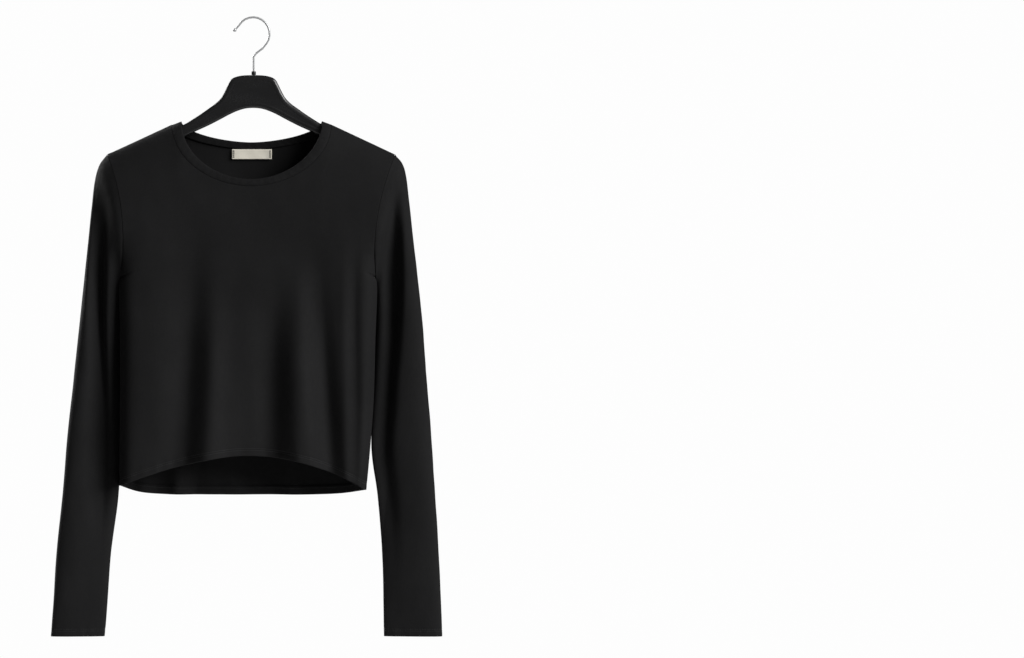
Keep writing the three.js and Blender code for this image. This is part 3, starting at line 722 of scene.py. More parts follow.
def hem_ripple(piece, x, z, from_hem, aside=0):
    """The ripple along a hem, which fades above it."""
    near = bell(from_hem - HEM_RIPPLE_MIDDLE, HEM_RIPPLE_REACH[piece])
    return near * ripple(x, z, piece, "hem", 0, aside)


def cloth_thickness(piece, from_hem, sizes):
    """The cloth's wall, thicker where the hem is turned up."""
    in_hem = smoothstep(sizes.hem_depth - from_hem, -0.5, 0.5)
    return sizes.cloth_wall * (1 + HEM_EXTRA[piece] * in_hem)


def panel_ways(face, side, row, from_side, from_top):
    """Inward directions, turned near each seam into the one that both of its pieces share."""
    inward = panel_inward(face, side, row)
    share = np.abs(side)
    onto_plane = unit(inward * np.array([1, 0, 1]))
    angle = PI * np.minimum(row / UNDERARM_SHARE, 1)
    seam_angle = angle if face == "front" else 2 * PI - angle
    left, right = (armhole_inward(name, seam_angle) for name in OUT)
    at_armhole = lerp(inward, np.where((side < 0)[..., None], left, right), armhole_part(angle))
    at_side = np.where((row < UNDERARM_SHARE)[..., None], at_armhole, onto_plane)
    near_side = bell(from_side, SEAM_FADE) * (share > NEAR_SIDE)
    inward = unit(lerp(inward, at_side, near_side[..., None]))
    neck_turn = np.where(side < 0, -1, 1) * neck_angle(np.minimum(share, NECK_SHARE))
    at_neck = band_inward(np.zeros_like(share), neck_turn if face == "front" else PI - neck_turn)
    at_top = np.where((share < NECK_SHARE)[..., None], at_neck, onto_plane)
    return unit(lerp(inward, at_top, bell(from_top, SEAM_FADE)[..., None]))


def panel_grid(face, sizes):
    """Outside of a panel, the way through its wall, its thickness, map and distance to the hem."""
    from_seam = spread(PANEL_COLUMNS, NEAR_SEAM)
    shares = 1 - from_seam * (0.5 + 0.5 * from_seam)
    across = np.concatenate([-shares[:-1], shares[::-1]])
    side_in = turned_in(len(shares))
    side_in = np.concatenate([side_in[:-1], side_in[::-1]])
    hem_rows = 1 - HEM_HEIGHTS / (abs(HEM_MIDDLE[face] - NECK_SEAM[face]) * PANEL_SLACK)
    top = spread(PANEL_ROWS, NEAR_SEAM / 2)
    down = np.concatenate([top[top < hem_rows[0] - PANEL_GAP], hem_rows])
    side, row = np.meshgrid(across, down)
    base = panel_point(face, side, row)

    from_top, along = path_length(base, 0), path_length(base, 1)
    from_hem = from_top[-1] - from_top
    from_side = np.where(side < 0, along, along[:, -1:] - along)
    from_middle = along - along[:, [len(shares) - 1]]
    inward = panel_ways(face, side, row, from_side, from_top)

    x, z = base[..., 0], base[..., 2]
    relief = stitch_dents("panel", from_hem, sizes) * (0.9 + ripple(x, z, "panel", "pucker"))
    relief += hem_ripple("panel", x, z, from_hem)
    by_armhole = 1 - smoothstep(row, UNDERARM_SHARE - ARMHOLE_FADE_ROWS, UNDERARM_SHARE)
    relief += bell(from_side, ARMHOLE_RIPPLE_REACH) * by_armhole * ripple(x, z, "panel", "armhole")
    calm = smoothstep(from_side, 0, CALM_SIDE) * smoothstep(from_top, 0, CALM_TOP)
    relief += calm * ripple(x, z, "panel", "broad", len(face))
    relief += smoothstep(from_side, 0, CALM_SIDE_SMALL) * ripple(x, z, "panel", "small", len(face))

    def own_side(points):
        """The points, kept on their own side of the side seam."""
        points[..., 1] = FACING[face] * np.maximum(FACING[face] * points[..., 1], SEAM_HALF)
        return points

    turned = np.maximum(roll(from_side) + side_in, roll(from_top) + turned_in(len(down))[:, None])
    outside = own_side(base + inward * (turned + relief)[..., None])
    left = base[:, [OFF_SEAM]] - base[:, [ON_SEAM]]
    right = base[:, [-1 - OFF_SEAM]] - base[:, [-1 - ON_SEAM]]
    way = wall_way(inward, from_side, np.where((side < 0)[..., None], left, right))
    way = wall_way(way, from_top, base[OFF_SEAM] - base[ON_SEAM])
    inside = own_side(outside + way * cloth_thickness("panel", from_hem, sizes)[..., None])
    moved = inside - outside
    maps = np.stack([from_middle, from_hem], -1) / MAP_UNIT
    return outside, unit(moved), np.linalg.norm(moved, axis=-1), maps, from_hem


def sleeve_grid(side, sizes):
    """The same for a sleeve, and its girth at each point."""
    fine = np.linspace(0, CUFF, SLEEVE_FINE)
    length = path_length(sleeve_point(side, fine[:, None], np.zeros((len(fine), 1))), 0)[:, 0]
    cuff_rows = length[-1] - HEM_HEIGHTS
    top = spread(SLEEVE_ROWS, NEAR_SEAM / 2) * length[-1]
    rows = np.concatenate([top[top < cuff_rows[0] - SLEEVE_GAP], cuff_rows])
    turn, row = np.meshgrid(full_turn(SLEEVE_COLUMNS), np.interp(rows, length, fine))
    base = sleeve_point(side, row, turn)
    from_top = path_length(base, 0)
    from_hem = from_top[-1] - from_top
    angle = np.minimum(turn, 2 * PI - turn)
    inward = sleeve_inward(side, row, turn)
    at_seam = lerp(inward, armhole_inward(side, turn), armhole_part(angle))
    inward = unit(lerp(inward, at_seam, bell(from_top, SEAM_FADE)[..., None]))

    x, z = base[..., 0], base[..., 2]
    aside = np.where(turn < PI, 0, BACK_ASIDE)
    relief = stitch_dents("sleeve", from_hem, sizes) + hem_ripple("sleeve", x, z, from_hem, aside)
    relief += bell(from_top, ARMHOLE_RIPPLE_REACH) * ripple(x, z, "sleeve", "armhole", 0, aside)
    for kind in ("broad", "small"):
        relief += smoothstep(from_top, 0, CALM_SLEEVE) * ripple(x, z, "sleeve", kind, len(side), aside)

    parted = 1 - bell(PI - angle, UNDERARM_WIDTH)
    turned = roll(from_top) * parted + turned_in(len(rows))[:, None]
    outside = base + inward * (turned + relief)[..., None]
    outside[..., 0] += OUT[side] * lerp(-UNDERARM_TUCK, SEAM_HALF * 2, parted) * bell(from_top, 2)
    way = wall_way(inward, from_top, base[OFF_SEAM] - base[ON_SEAM])
    round_it = path_length(np.concatenate([base, base[:, :1]], 1), 1) / MAP_UNIT
    maps = np.stack([round_it[:, :-1], from_hem / MAP_UNIT], -1)
    girth = np.broadcast_to(round_it[:, -1:], from_hem.shape)
    return outside, way, cloth_thickness("sleeve", from_hem, sizes), maps, from_hem, girth


def row_above(grid, distances, height):
    """Points of a grid at a height above its last row, one for each column, by straight mixing."""
    row = np.argmax(distances <= height, axis=0)
    column = np.arange(grid.shape[1])
    near, far = distances[row, column], distances[row - 1, column]
    t = ((height - near) / np.maximum(1e-6, far - near))[:, None]
    return lerp(grid[row, column], grid[row - 1, column], t)


def evenly(points, spacing, outward):
    """Points at even distances along a line, its direction there and the outward way there."""
    length = path_length(points, 0)
    count = max(2, int(round(length[-1] / spacing)))
    at = (np.arange(count) + 0.5) * length[-1] / count
    ahead = along_line(points, length, at + 0.5) - along_line(points, length, at - 0.5)
    return along_line(points, length, at), unit(ahead), along_line(outward, length, at)


def thread_shape(length, radius):
    """One stitch: rings round a line that sinks at both ends, thin at the ends and full in the middle."""
    s = np.linspace(-1, 1, THREAD_RINGS)[:, None]
    turn = full_turn(THREAD_SIDES)
    full = np.sqrt(np.maximum(0.02, 1 - s ** 4)) * radius
    up = full * np.cos(turn) - 1.5 * radius * np.abs(s) ** 3
    points = np.stack([np.broadcast_to(s * length / 2, up.shape), full * np.sin(turn), up], -1)
    index, quads = net(THREAD_RINGS, THREAD_SIDES, False, True)
    return points.reshape(-1, 3), quads, np.stack([index[0], index[-1, ::-1]])


def stitches(lines, sizes):
    """Points and faces of every stitch on the lines. A line gives places, directions and outward ways."""
    shape, quads, ends = thread_shape(sizes.stitch_length, sizes.thread / 2)
    points, faces, caps, start = [], [], [], 0
    for place, ahead, outward in lines:
        outward = unit(outward - ahead * np.sum(outward * ahead, -1, keepdims=True))
        aside = np.cross(outward, ahead)
        axes = np.stack([ahead, aside, outward], 1)
        copies = place[:, None] + np.einsum("pk,nkx->npx", shape, axes)
        offset = start + len(shape) * np.arange(len(place))[:, None, None]
        points.append(copies.reshape(-1, 3))
        faces.append((quads + offset).reshape(-1, 4))
        caps.append((ends + offset).reshape(-1, THREAD_SIDES))
        start += copies.shape[0] * copies.shape[1]
    return np.concatenate(points), [np.concatenate(faces), np.concatenate(caps)]


def band_profile(width):
    """Doubled strip of rib: a lip behind the seam, a soft roll away from it and a round free edge."""
    turn = np.linspace(PI / 2, -PI / 2, 7)
    edge = [width, BAND_EDGE_MIDDLE] + BAND_EDGE * np.stack([np.cos(turn) - 1, np.sin(turn)], -1)
    wide = np.array([width, 1])
    return np.concatenate([BAND_LIP, BAND_CROWN * wide, edge, BAND_INSIDE * wide, BAND_FOOT])


def band_frames():
    """Places along the neck seam with the way to the free edge and the way out of the garment."""
    turn = np.linspace(0, 2 * PI, BAND_FINE)
    length = path_length(band_point(np.zeros_like(turn), turn), 0)
    around = np.interp(np.linspace(0, length[-1], BAND_PLACES + 1)[:-1], length, turn)
    place = band_point(np.zeros_like(around), around)
    free = band_point(np.ones_like(around), around)
    inward = band_inward(np.full_like(around, 0.5), around)
    width = np.linalg.norm(free - place, axis=-1)
    return place, unit(free - place), -inward, width, length[-1]


def neckband_shape():
    """Points, faces and map of the neckband: its profile grows with the band's width at each place."""
    place, sideways, outward, width, length = band_frames()
    narrow, broad = (band_profile(w)[:, None] for w in (width.min(), width.max()))
    share = ((width - width.min()) / max(1e-6, width.max() - width.min()))[None, :, None]
    profile = lerp(narrow, broad, share)
    walk = np.linspace(0, length, len(place) + 1)[:-1]
    uneven = 0.16 * np.sin(walk * 2 * PI / 11 + 2 * np.sin(walk / 37))
    uneven += 0.12 * np.sin(walk * 2 * PI / 27 + 1)
    out = profile[..., 1] + uneven * np.sin(PI * np.clip(profile[..., 0] / width, 0, 1))
    points = place + profile[..., :1] * sideways + out[..., None] * outward
    maps = np.stack([np.broadcast_to(walk, out.shape), profile[..., 0]], -1) / MAP_UNIT
    return points, [net(*out.shape, True, True)[1]], maps, np.full(out.shape, length / MAP_UNIT)


def label_shape(sizes):
    """Woven label: a thin sheet on the inside of the back, following it with a slight wave of its own."""
    x = np.linspace(LABEL_LEFT, LABEL_LEFT + sizes.label_width, LABEL_COLUMNS)
    z = np.linspace(LABEL_TOP, LABEL_TOP - sizes.label_height, LABEL_ROWS)
    x, z = np.meshgrid(x, z)
    down = (LABEL_TOP - z) / sizes.label_height
    wave = LABEL_WAVE * np.sin(x * 2 * PI / LABEL_WAVE_LENGTH + LABEL_WAVE_START) * np.sin(PI * down)
    face = np.stack([x, half_depth(np.abs(x), z) - LABEL_OFF - wave - LABEL_DROOP * down ** 2, z], -1)
    back = np.zeros_like(face) + [0, 1, 0]
    grid, faces = wall(face, back, np.full_like(x, LABEL_THICK), 3, False)
    return face, grid, faces, both_sides(np.stack([x, z], -1) / MAP_UNIT, len(grid))


def rounded_outline(points, spacing):
    """Closed outline walked at even distances."""
    closed = np.concatenate([points, points[:1]])
    length = path_length(closed, 0)
    count = int(round(length[-1] / spacing))
    return along_line(closed, length, np.arange(count) * length[-1] / count)


def smooth_line(points, repeats):
    """Line through the points, made finer by cubic pieces."""
    position = np.linspace(0, len(points) - 1, (len(points) - 1) * repeats + 1)
    return np.stack([curve_at(points[:, k], position) for k in range(2)], -1)


def hanger_outline():
    """Half of the outline from the crown round the arm tip to the arch, then its mirror image."""
    crown = smooth_line(np.array(CROWN, float), 6)
    flank = smooth_line(np.array([CROWN[-1]] + FLANK, float), 6)[1:]
    start = flank[-1]
    arch = smooth_line(np.array(ARCH, float), 6)
    centre = np.array([ARM_TIP_X, ARM_TIP_Z])

    def touch(point, side):
        """Angle on the tip's circle where a straight edge from the point meets it."""
        dx, dz = point - centre
        return np.arctan2(dz, dx) + side * np.arccos(ARM_TIP_RADIUS / np.hypot(dx, dz))
    turn = np.linspace(touch(start, -1) + 2 * PI, touch(arch[0], 1), 60)
    tip = centre + ARM_TIP_RADIUS * np.stack([np.cos(turn), np.sin(turn)], -1)
    half = np.concatenate([crown, flank, tip, arch])
    return np.concatenate([half, half[::-1][1:-1] * [-1, 1]])


def hanger_shape(sizes):
    """Moulded plate: rings of the outline, each moved in and out by the profile of its edge.

    The profile is a rounded edge, a flat rim, a slope down to a sunken face and the face itself.
    """
    outline = rounded_outline(hanger_outline(), OUTLINE_STEP)
    ahead = unit(np.roll(outline, -1, 0) - np.roll(outline, 1, 0))
    inward = np.stack([ahead[:, 1], -ahead[:, 0]], -1)
    turn = np.linspace(0, PI / 2, 8)
    rim, drop, low = sizes.edge_width, sizes.edge_round, HANGER_HALF - sizes.sink
    edge = np.stack([rim * (1 - np.cos(turn)), HANGER_HALF - drop + drop * np.sin(turn)], -1)
    step = np.array([[0.5, HANGER_HALF], [0.75, HANGER_HALF - 0.05],
                     [1.1, low + 0.04], [1.3, low], [1.6, low]])
    front = np.concatenate([edge, step + [rim, 0]])
    profile = np.concatenate([(front * [1, -1])[::-1], front])
    moved = outline[None] + profile[:, :1, None] * inward[None]
    depth = np.broadcast_to(profile[:, 1:2], moved.shape[:2])
    points = np.stack([moved[..., 0], depth, moved[..., 1]], -1)
    index, quads = net(*moved.shape[:2], False, True)
    return points, [quads, index[:1], index[-1:, ::-1]]


def tube_shape(path, radius):
    """Round wire along a path in the middle plane, with a radius for each of its points."""
    ahead = unit(np.gradient(path, axis=0))
    aside = np.stack([ahead[:, 1], -ahead[:, 0]], -1)
    turn, radius = full_turn(WIRE_SIDES), radius[:, None]
    flat = path[:, None] + aside[:, None] * (radius * np.cos(turn))[..., None]
    points = np.stack([flat[..., 0], radius * np.sin(turn), flat[..., 1]], -1)
    index, quads = net(len(path), WIRE_SIDES, False, True)
    return points, [quads, index[:1, ::-1], index[-1:]]


def hook_shape():
    """Wire up from the crown, round an open arc, and a ball where it ends, as one swelling tube."""
    turn = np.linspace(HOOK_START, HOOK_STOP, 13)
    arc = np.stack([HOOK_RADIUS * np.cos(turn), HOOK_CENTRE + HOOK_RADIUS * np.sin(turn)], -1)
    stem = HOOK_BEND[0][0]
    start = np.array([[stem, CROWN_TOP - SOCKET_DEPTH], [stem, CROWN_TOP], [stem, HOOK_STEM_TOP]])
    route = np.concatenate([start, HOOK_BEND, arc, [[HOOK_END_X, HOOK_END_Z]]])
    for _ in range(3):
        length = path_length(route, 0)
        route = smooth_line(along_line(route, length, np.linspace(0, length[-1], 161)), 2)
    heading = unit(route[-1] - route[-4])
    length = path_length(route, 0)
    total = length[-1]
    beyond = BALL_RADIUS * 0.999
    at = np.concatenate([np.arange(0, total - 3.2, 0.8), np.linspace(total - 3, total + beyond, 30)])
    path = along_line(route, length, at) + np.maximum(0, at - total)[:, None] * heading
    ball = np.sqrt(np.maximum(0, BALL_RADIUS ** 2 - (at - total) ** 2))
    return tube_shape(path, np.where(at > total, ball, np.maximum(ball, WIRE_RADIUS)))


def collar_shape():
    """Short ring with rounded edges, turned round the wire just above the crown."""
    low, high = COLLAR_LOW, COLLAR_LOW + COLLAR_HEIGHT
    bend = np.linspace(0, PI / 2, 6)
    corner = np.stack([np.cos(bend), np.sin(bend)], -1) * COLLAR_ROUND
    top = corner + [COLLAR_RADIUS - COLLAR_ROUND, high - COLLAR_ROUND]
    bottom = corner[::-1] * [1, -1] + [COLLAR_RADIUS - COLLAR_ROUND, low + COLLAR_ROUND]
    bore = np.array([[WIRE_RADIUS + 0.05, high], [WIRE_RADIUS + 0.05, low]])
    profile = np.concatenate([bottom, top, bore])
    turn = full_turn(COLLAR_SIDES)
    points = np.stack([profile[:, :1] * np.cos(turn) + HOOK_BEND[0][0], profile[:, :1] * np.sin(turn),
                       np.broadcast_to(profile[:, 1:], (len(profile), len(turn)))], -1)
    return points, [net(*points.shape[:2], True, True)[1]]


class Value:
    """A shader socket that takes part in sums written in Python."""

    def __init__(self, finish, socket):
        self.finish, self.socket = finish, socket

    def __add__(self, other):
        return self.finish.maths("ADD", self, other)

    def __sub__(self, other):
        return self.finish.maths("SUBTRACT", self, other)

    def __mul__(self, other):
        return self.finish.maths("MULTIPLY", self, other)


class Finish:
    """A material with its Principled shader, and the nodes that feed it."""

    def __init__(self, name, **constants):
        self.material = bpy.data.materials.new(name)
        self.material.use_nodes = True
        self.tree = self.material.node_tree
        self.shader = self.tree.nodes["Principled BSDF"]
        self.shade(**constants)

    def shade(self, **sockets):
        """Feeds the shader's sockets and returns the material."""
        for name, value in sockets.items():
            self.feed(self.shader.inputs[name.replace("_", " ")], value)
        return self.material

    def feed(self, socket, value):
        """Links a socket to a value, or sets it to a number, vector or colour."""
        if isinstance(value, Value):
            self.tree.links.new(value.socket, socket)
        else:
            socket.default_value = value

    def outputs(self, kind, sockets, **settings):
        """Outputs of a new node, with the values or links of its sockets by name or number."""
        node = self.tree.nodes.new(kind)
        for name, value in settings.items():
            setattr(node, name, value)
        for key, value in sockets.items():
            self.feed(node.inputs[key], value)
        return node.outputs

    def value(self, kind, sockets, output=0, **settings):
        """One output of a new node."""
        return Value(self, self.outputs(kind, sockets, **settings)[output])

    def maths(self, operation, *values):
        """One sum of values and numbers."""
        return self.value("ShaderNodeMath", dict(enumerate(values)), operation=operation)

    def wave(self, value):
        """Sine of a value, from 0 to 1."""
        return self.maths("SINE", value) * 0.5 + 0.5

    def ramp(self, value, low, high, start=0.0, end=1.0):
        """The value's place between low and high, as a smooth step from start to end."""
        sockets = {"Value": value, "From Min": low, "From Max": high, "To Min": start, "To Max": end}
        return self.value("ShaderNodeMapRange", sockets, interpolation_type="SMOOTHSTEP")

    def mix(self, share, first, second):
        """Colour between two others."""
        return self.value("ShaderNodeMix", {0: share, 6: first, 7: second}, 2, data_type="RGBA")

    def place(self, kind="Object"):
        """Object coordinates, or the piece's own map."""
        return self.value("ShaderNodeTexCoord", {}, kind)

    def apart(self, vector):
        """The three numbers of a vector."""
        return [Value(self, part) for part in self.outputs("ShaderNodeSeparateXYZ", {0: vector})]

    def scaled(self, vector, factors):
        """A vector with each of its numbers multiplied."""
        return self.value("ShaderNodeVectorMath", {0: vector, 1: factors}, operation="MULTIPLY")

    def noise(self, vector, scale, detail=2.0, rough=0.5):
        """Cloudy value round 0.5."""
        sockets = {"Vector": vector, "Scale": scale, "Detail": detail, "Roughness": rough}
        return self.value("ShaderNodeTexNoise", sockets, "Fac")

    def bump(self, height, distance):
        """Normal from a height in metres times its distance."""
        sockets = {"Height": height, "Distance": distance, "Strength": 1.0}
        return self.value("ShaderNodeBump", sockets, "Normal")


def tone(colour, factor):
    """The colour made lighter or darker, with full cover."""
    return tuple(min(1.0, part * factor) for part in colour[:3]) + (1.0,)


def knit_shader(name):
    """Matt shader with a slight sheen that both knits start from."""
    return Finish(name, Roughness=0.8, Specular_IOR_Level=JERSEY_SHINE, Sheen_Weight=0.01,
                  Sheen_Roughness=0.45)


def jersey_finish(name, colour, wale, course):
    """Fine knit: columns of V-shaped loops, with slubs, a soft nap, cloudy dye and painted shade between
    the loops.

    The height of a loop is a ridge across its column times a ridge along it, moved on with the distance
    from the column's middle, which makes the V.
    """
    finish = knit_shader(name)
    across, along, _ = finish.apart(finish.place("UV"))
    here = finish.place()
    drift = (finish.noise(here, 90) - 0.5) * 0.6
    column = across * (MAP_UNIT / wale) + drift
    cell = finish.maths("FRACT", column)
    off_middle = finish.maths("ABSOLUTE", cell - 0.5)
    ridge = finish.maths("SINE", cell * PI)
    row = along * (MAP_UNIT / course) + off_middle * 1.1 + drift
    loops = finish.wave(row * (2 * PI))
    knit = ridge * (loops * 0.6 + 0.4)
    slub = finish.noise(finish.scaled(here, (1, 1, 0.35)), 420, 3)
    fuzz = finish.noise(here, 2600, 2)
    cloud = finish.noise(here, 14, 3)
    height = knit * 0.55 + finish.ramp(slub, 0.35, 0.75) * 0.35 + fuzz * 0.12
    # Painted shade: the base follows the knit's height, lighter on the loops' ridges and darker between
    # them; slubs are lighter and the clouds are random tone.
    shade = finish.ramp(cloud * 0.55 + slub * 0.3 + knit * 0.15, 0.3, 0.7)
    base = finish.mix(shade, tone(colour, 0.82), tone(colour, 1.16))
    rough = finish.ramp(slub * 0.6 + fuzz * 0.4, 0.3, 0.7, 0.72, 0.88)
    return finish.shade(Base_Color=base, Roughness=rough, Normal=finish.bump(height, 0.00011))


def rib_finish(name, colour, pitch):
    """Fine rib across the band: narrow columns that run from the seam to the free edge."""
    finish = knit_shader(name)
    round_band, width, _ = finish.apart(finish.place("UV"))
    here = finish.place()
    rib = finish.wave(round_band * (2 * PI * MAP_UNIT / pitch))
    rows = finish.wave(width * (2 * PI * MAP_UNIT / 0.6))
    slub = finish.noise(here, 500, 3)
    cloud = finish.noise(here, 22, 2)
    # Painted shade: the base is darker in the hollows between the ribs and lighter on their crests; the
    # clouds and slubs are random tone.
    base = finish.mix(finish.ramp(cloud * 0.5 + rib * 0.35 + slub * 0.15, 0.25, 0.75),
                      tone(colour, 0.8), tone(colour, 1.18))
    height = rib * 0.7 + rows * 0.15 + slub * 0.3
    rough = finish.ramp(slub, 0.3, 0.7, 0.74, 0.9)
    return finish.shade(Base_Color=base, Roughness=rough, Normal=finish.bump(height, 0.00018))


def thread_finish(colour):
    """Spun thread with a slight gloss and a twist."""
    finish = Finish("sewing_thread", Specular_IOR_Level=0.5)
    here = finish.place()
    x, _, z = finish.apart(here)
    twist = finish.wave((x + z) * 14000)
    grain = finish.noise(here, 1500, 2)
    # Painted shade: the base is lighter on the twist's ridges and darker in its grooves; the grain is
    # random tone.
    base = finish.mix(twist * 0.6 + grain * 0.4, tone(colour, 0.8), tone(colour, 1.25))
    rough = finish.ramp(grain, 0.3, 0.7, 0.5, 0.68)
    return finish.shade(Base_Color=base, Roughness=rough, Normal=finish.bump(twist, 0.00005))


def label_finish(colour):
    """Woven tape: fine warp and weft, and slight soiling."""
    finish = Finish("label_tape", Specular_IOR_Level=0.35, Sheen_Weight=0.08, Sheen_Roughness=0.4)
    x, z, _ = finish.apart(finish.place("UV"))
    here = finish.place()
    warp = finish.wave(x * (2 * PI * MAP_UNIT / 0.42))
    weft = finish.wave(z * (2 * PI * MAP_UNIT / 0.36))
    weave = warp * weft
    cloud = finish.noise(here, 60, 3)
    thread = finish.noise(finish.scaled(here, (1, 1, 12)), 240, 2)
    # Painted shade: the base is lighter where warp and weft rise together and darker in the gaps of the
    # weave; the clouds and streaks are random soiling.
    base = finish.mix(finish.ramp(cloud * 0.4 + thread * 0.25 + weave * 0.35, 0.25, 0.7),
                      tone(colour, 0.95), tone(colour, 1.04))
    rough = finish.ramp(thread, 0.3, 0.7, 0.62, 0.8)
    return finish.shade(Base_Color=base, Roughness=rough, Normal=finish.bump(weave, 0.0001))


def plastic_finish(name, colour, rough):
    """Moulded plastic: satin, with fine mould texture, faint flow clouds and rubbed patches."""
    finish = Finish(name, Specular_IOR_Level=0.35)
    here = finish.place()
    grain = finish.noise(here, 900, 3)
    flow = finish.noise(finish.scaled(here, (0.5, 1, 1.6)), 26, 3)
    rubbed = finish.ramp(finish.noise(here, 70, 4, 0.6), 0.56, 0.72)
    # Painted shade: the base is lighter where the mould texture rises and darker in its hollows; the flow
    # clouds are random tone.
    base = finish.mix(finish.ramp(flow * 0.7 + grain * 0.3, 0.3, 0.7),
                      tone(colour, 0.88), tone(colour, 1.15))
    gloss = finish.ramp(grain * 0.5 + flow * 0.5, 0.3, 0.7, rough - 0.05, rough + 0.06) - rubbed * 0.06
    return finish.shade(Base_Color=base, Roughness=gloss, Normal=finish.bump(grain, 0.00003))


def chrome_finish(colour):
    """Dulled plated wire with drawing lines and small worn spots."""
    finish = Finish("plated_wire", Metallic=0.4)
    here = finish.place()
    lines = finish.noise(finish.scaled(here, (1, 1, 0.12)), 2600, 2)
    spots = finish.ramp(finish.noise(here, 380, 3), 0.6, 0.74)
    base = finish.mix(spots * 0.5 + lines * 0.2, tone(colour, 1.04), tone(colour, 0.8))
    gloss = finish.ramp(lines, 0.3, 0.7, 0.34, 0.4) + spots * 0.06
    return finish.shade(Base_Color=base, Roughness=gloss, Normal=finish.bump(lines, 0.000004))


def floor_finish(colour):
    """Pale matt floor with faint mottling."""
    finish = Finish("pale_floor", Specular_IOR_Level=0.1)
    cloud = finish.noise(finish.place(), 0.8, 3)
    base = finish.mix(cloud, tone(colour, 0.99), tone(colour, 1.01))
    return finish.shade(Base_Color=base, Roughness=finish.ramp(cloud, 0.3, 0.7, 0.85, 0.95))


def metres(name, description, default):
    """Property for a length in metres."""
    return FloatProperty(name=name, description=description, default=default, unit="LENGTH")


def linear(name, description, *default):
    """Property for a linear base colour."""
    return FloatVectorProperty(name=name, description=description, default=default, subtype="COLOR",
                               size=3)


class CropTopSizes(bpy.types.PropertyGroup):
    """Sizes of the cloth, its sewing, the label and the hanger."""
    cloth_wall: metres("Cloth", "Thickness of the jersey", 0.0009)
    hem_depth: metres("Hem", "Depth of the turned-up hem", 0.0105)
    stitch_height: metres("Stitch height", "Lower row of hem stitches above the edge", 0.0062)
    stitch_gap: metres("Needle gap", "Distance between the twin rows", 0.0024)
    stitch_length: metres("Stitch", "Length of a stitch", 0.0026)
    stitch_spacing: metres("Spacing", "Distance from stitch to stitch", 0.0031)
    thread: metres("Thread", "Thickness of the sewing thread", 0.00042)
    wale: metres("Knit column", "Width of a column of loops", 0.00075)
    course: metres("Knit row", "Height of a row of loops", 0.00055)
    rib: metres("Rib", "Pitch of the neckband's rib", 0.0014)
    label_width: metres("Label width", "Long side of the label", 0.0504)
    label_height: metres("Label height", "Short side of the label", 0.0121)
    edge_round: metres("Hanger edge", "Height of the hanger's rounded edge", 0.003)
    edge_width: metres("Hanger rim", "Width of the hanger's rounded edge", 0.0052)
    sink: metres("Hanger face", "How far the hanger's face lies below its rim", 0.00025)


class CropTopColours(bpy.types.PropertyGroup):
    """Base colours of the finishes, linear."""
    jersey: linear("Jersey", "Dyed cotton jersey", 0.0082, 0.0081, 0.0084)
    thread: linear("Thread", "Sewing thread", 0.0086, 0.0086, 0.009)
    label: linear("Label", "Woven label", 0.93, 0.88, 0.76)
    label_thread: linear("Label stitches", "Stitches on the label", 0.006, 0.006, 0.0063)
    plastic: linear("Hanger", "Moulded plastic", 0.013, 0.013, 0.0134)
    wire: linear("Hook", "Plated wire", 0.47, 0.475, 0.48)
    floor: linear("Floor", "Pale floor", 0.8, 0.8, 0.8)


class CropTopStage(bpy.types.PropertyGroup):
    """Lights and camera."""
    key: FloatProperty(name="Key light", description="Soft light from the viewer's right", default=4.2)
    behind: FloatProperty(name="Light behind", description="The same for the back", default=4.0)
    fill: FloatProperty(name="Fill", description="Even light from all round", default=0.08)
    backdrop: FloatProperty(name="Backdrop", description="Brightness of what lies behind", default=0.985)
    distance: metres("Camera distance", "From the middle plane", 4.5)
    floor_drop: metres("Floor", "Distance below the hook's top", 2.2)


class Millimetres:
    """The sizes of a property group as plain numbers in millimetres."""

    def __init__(self, group):
        for name in group.__annotations__:
            setattr(self, name, getattr(group, name) / MM)


def stitch_piece(name, lines, sizes, material):
    """One object that holds every stitch on the lines."""
    return make_piece(name, *stitches(lines, sizes), material)


def hem_lines(outside, way, thickness, from_hem, sizes, inside_too=False):
    """Twin rows of stitches above a hem, and the row that shows inside it."""
    def line(grid, facing, height):
        facing = row_above(facing, from_hem, height)
        place = row_above(grid, from_hem, height) + facing * STITCH_LIFT
        return evenly(place, sizes.stitch_spacing, facing)
    low, gap = sizes.stitch_height, sizes.stitch_gap
    lines = [line(outside, -way, height) for height in (low, low + gap)]
    if inside_too:
        lines.append(line(outside + way * thickness[..., None], way, low + gap / 2))
    return lines


def scene_settings():
    """The sizes in millimetres, and the colours."""
    scene = bpy.context.scene
    return Millimetres(scene.crop_top_sizes), scene.crop_top_colours


def jersey_material(name, sizes, colours):
    """The jersey's finish, made once for each piece that it is used on."""
    return jersey_finish(name, colours.jersey, sizes.wale, sizes.course)


class CROPTOP_OT_hanger(bpy.types.Operator):
    """Make the moulded hanger body"""
    bl_idname = "crop_top.hanger"
    bl_label = "Hanger"

    def execute(self, context):
        sizes, colours = scene_settings()
        points, faces = hanger_shape(sizes)
        hanger = make_piece("hanger_moulding", points, faces,
                            plastic_finish("hanger_plastic", colours.plastic, 0.24))
        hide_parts("hanger")
        return {"FINISHED"}


class CROPTOP_OT_hook(bpy.types.Operator):
    """Make the wire hook and the ring at its foot"""
    bl_idname = "crop_top.hook"
    bl_label = "Hook and ring"

    def execute(self, context):
        _, colours = scene_settings()
        hook = make_piece("hook_wire", *hook_shape(), chrome_finish(colours.wire))
        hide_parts("hook")
        ring = make_piece("collar_ring", *collar_shape(),
                          plastic_finish("ring_plastic", colours.plastic, 0.3))
        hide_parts("collar")
        return {"FINISHED"}


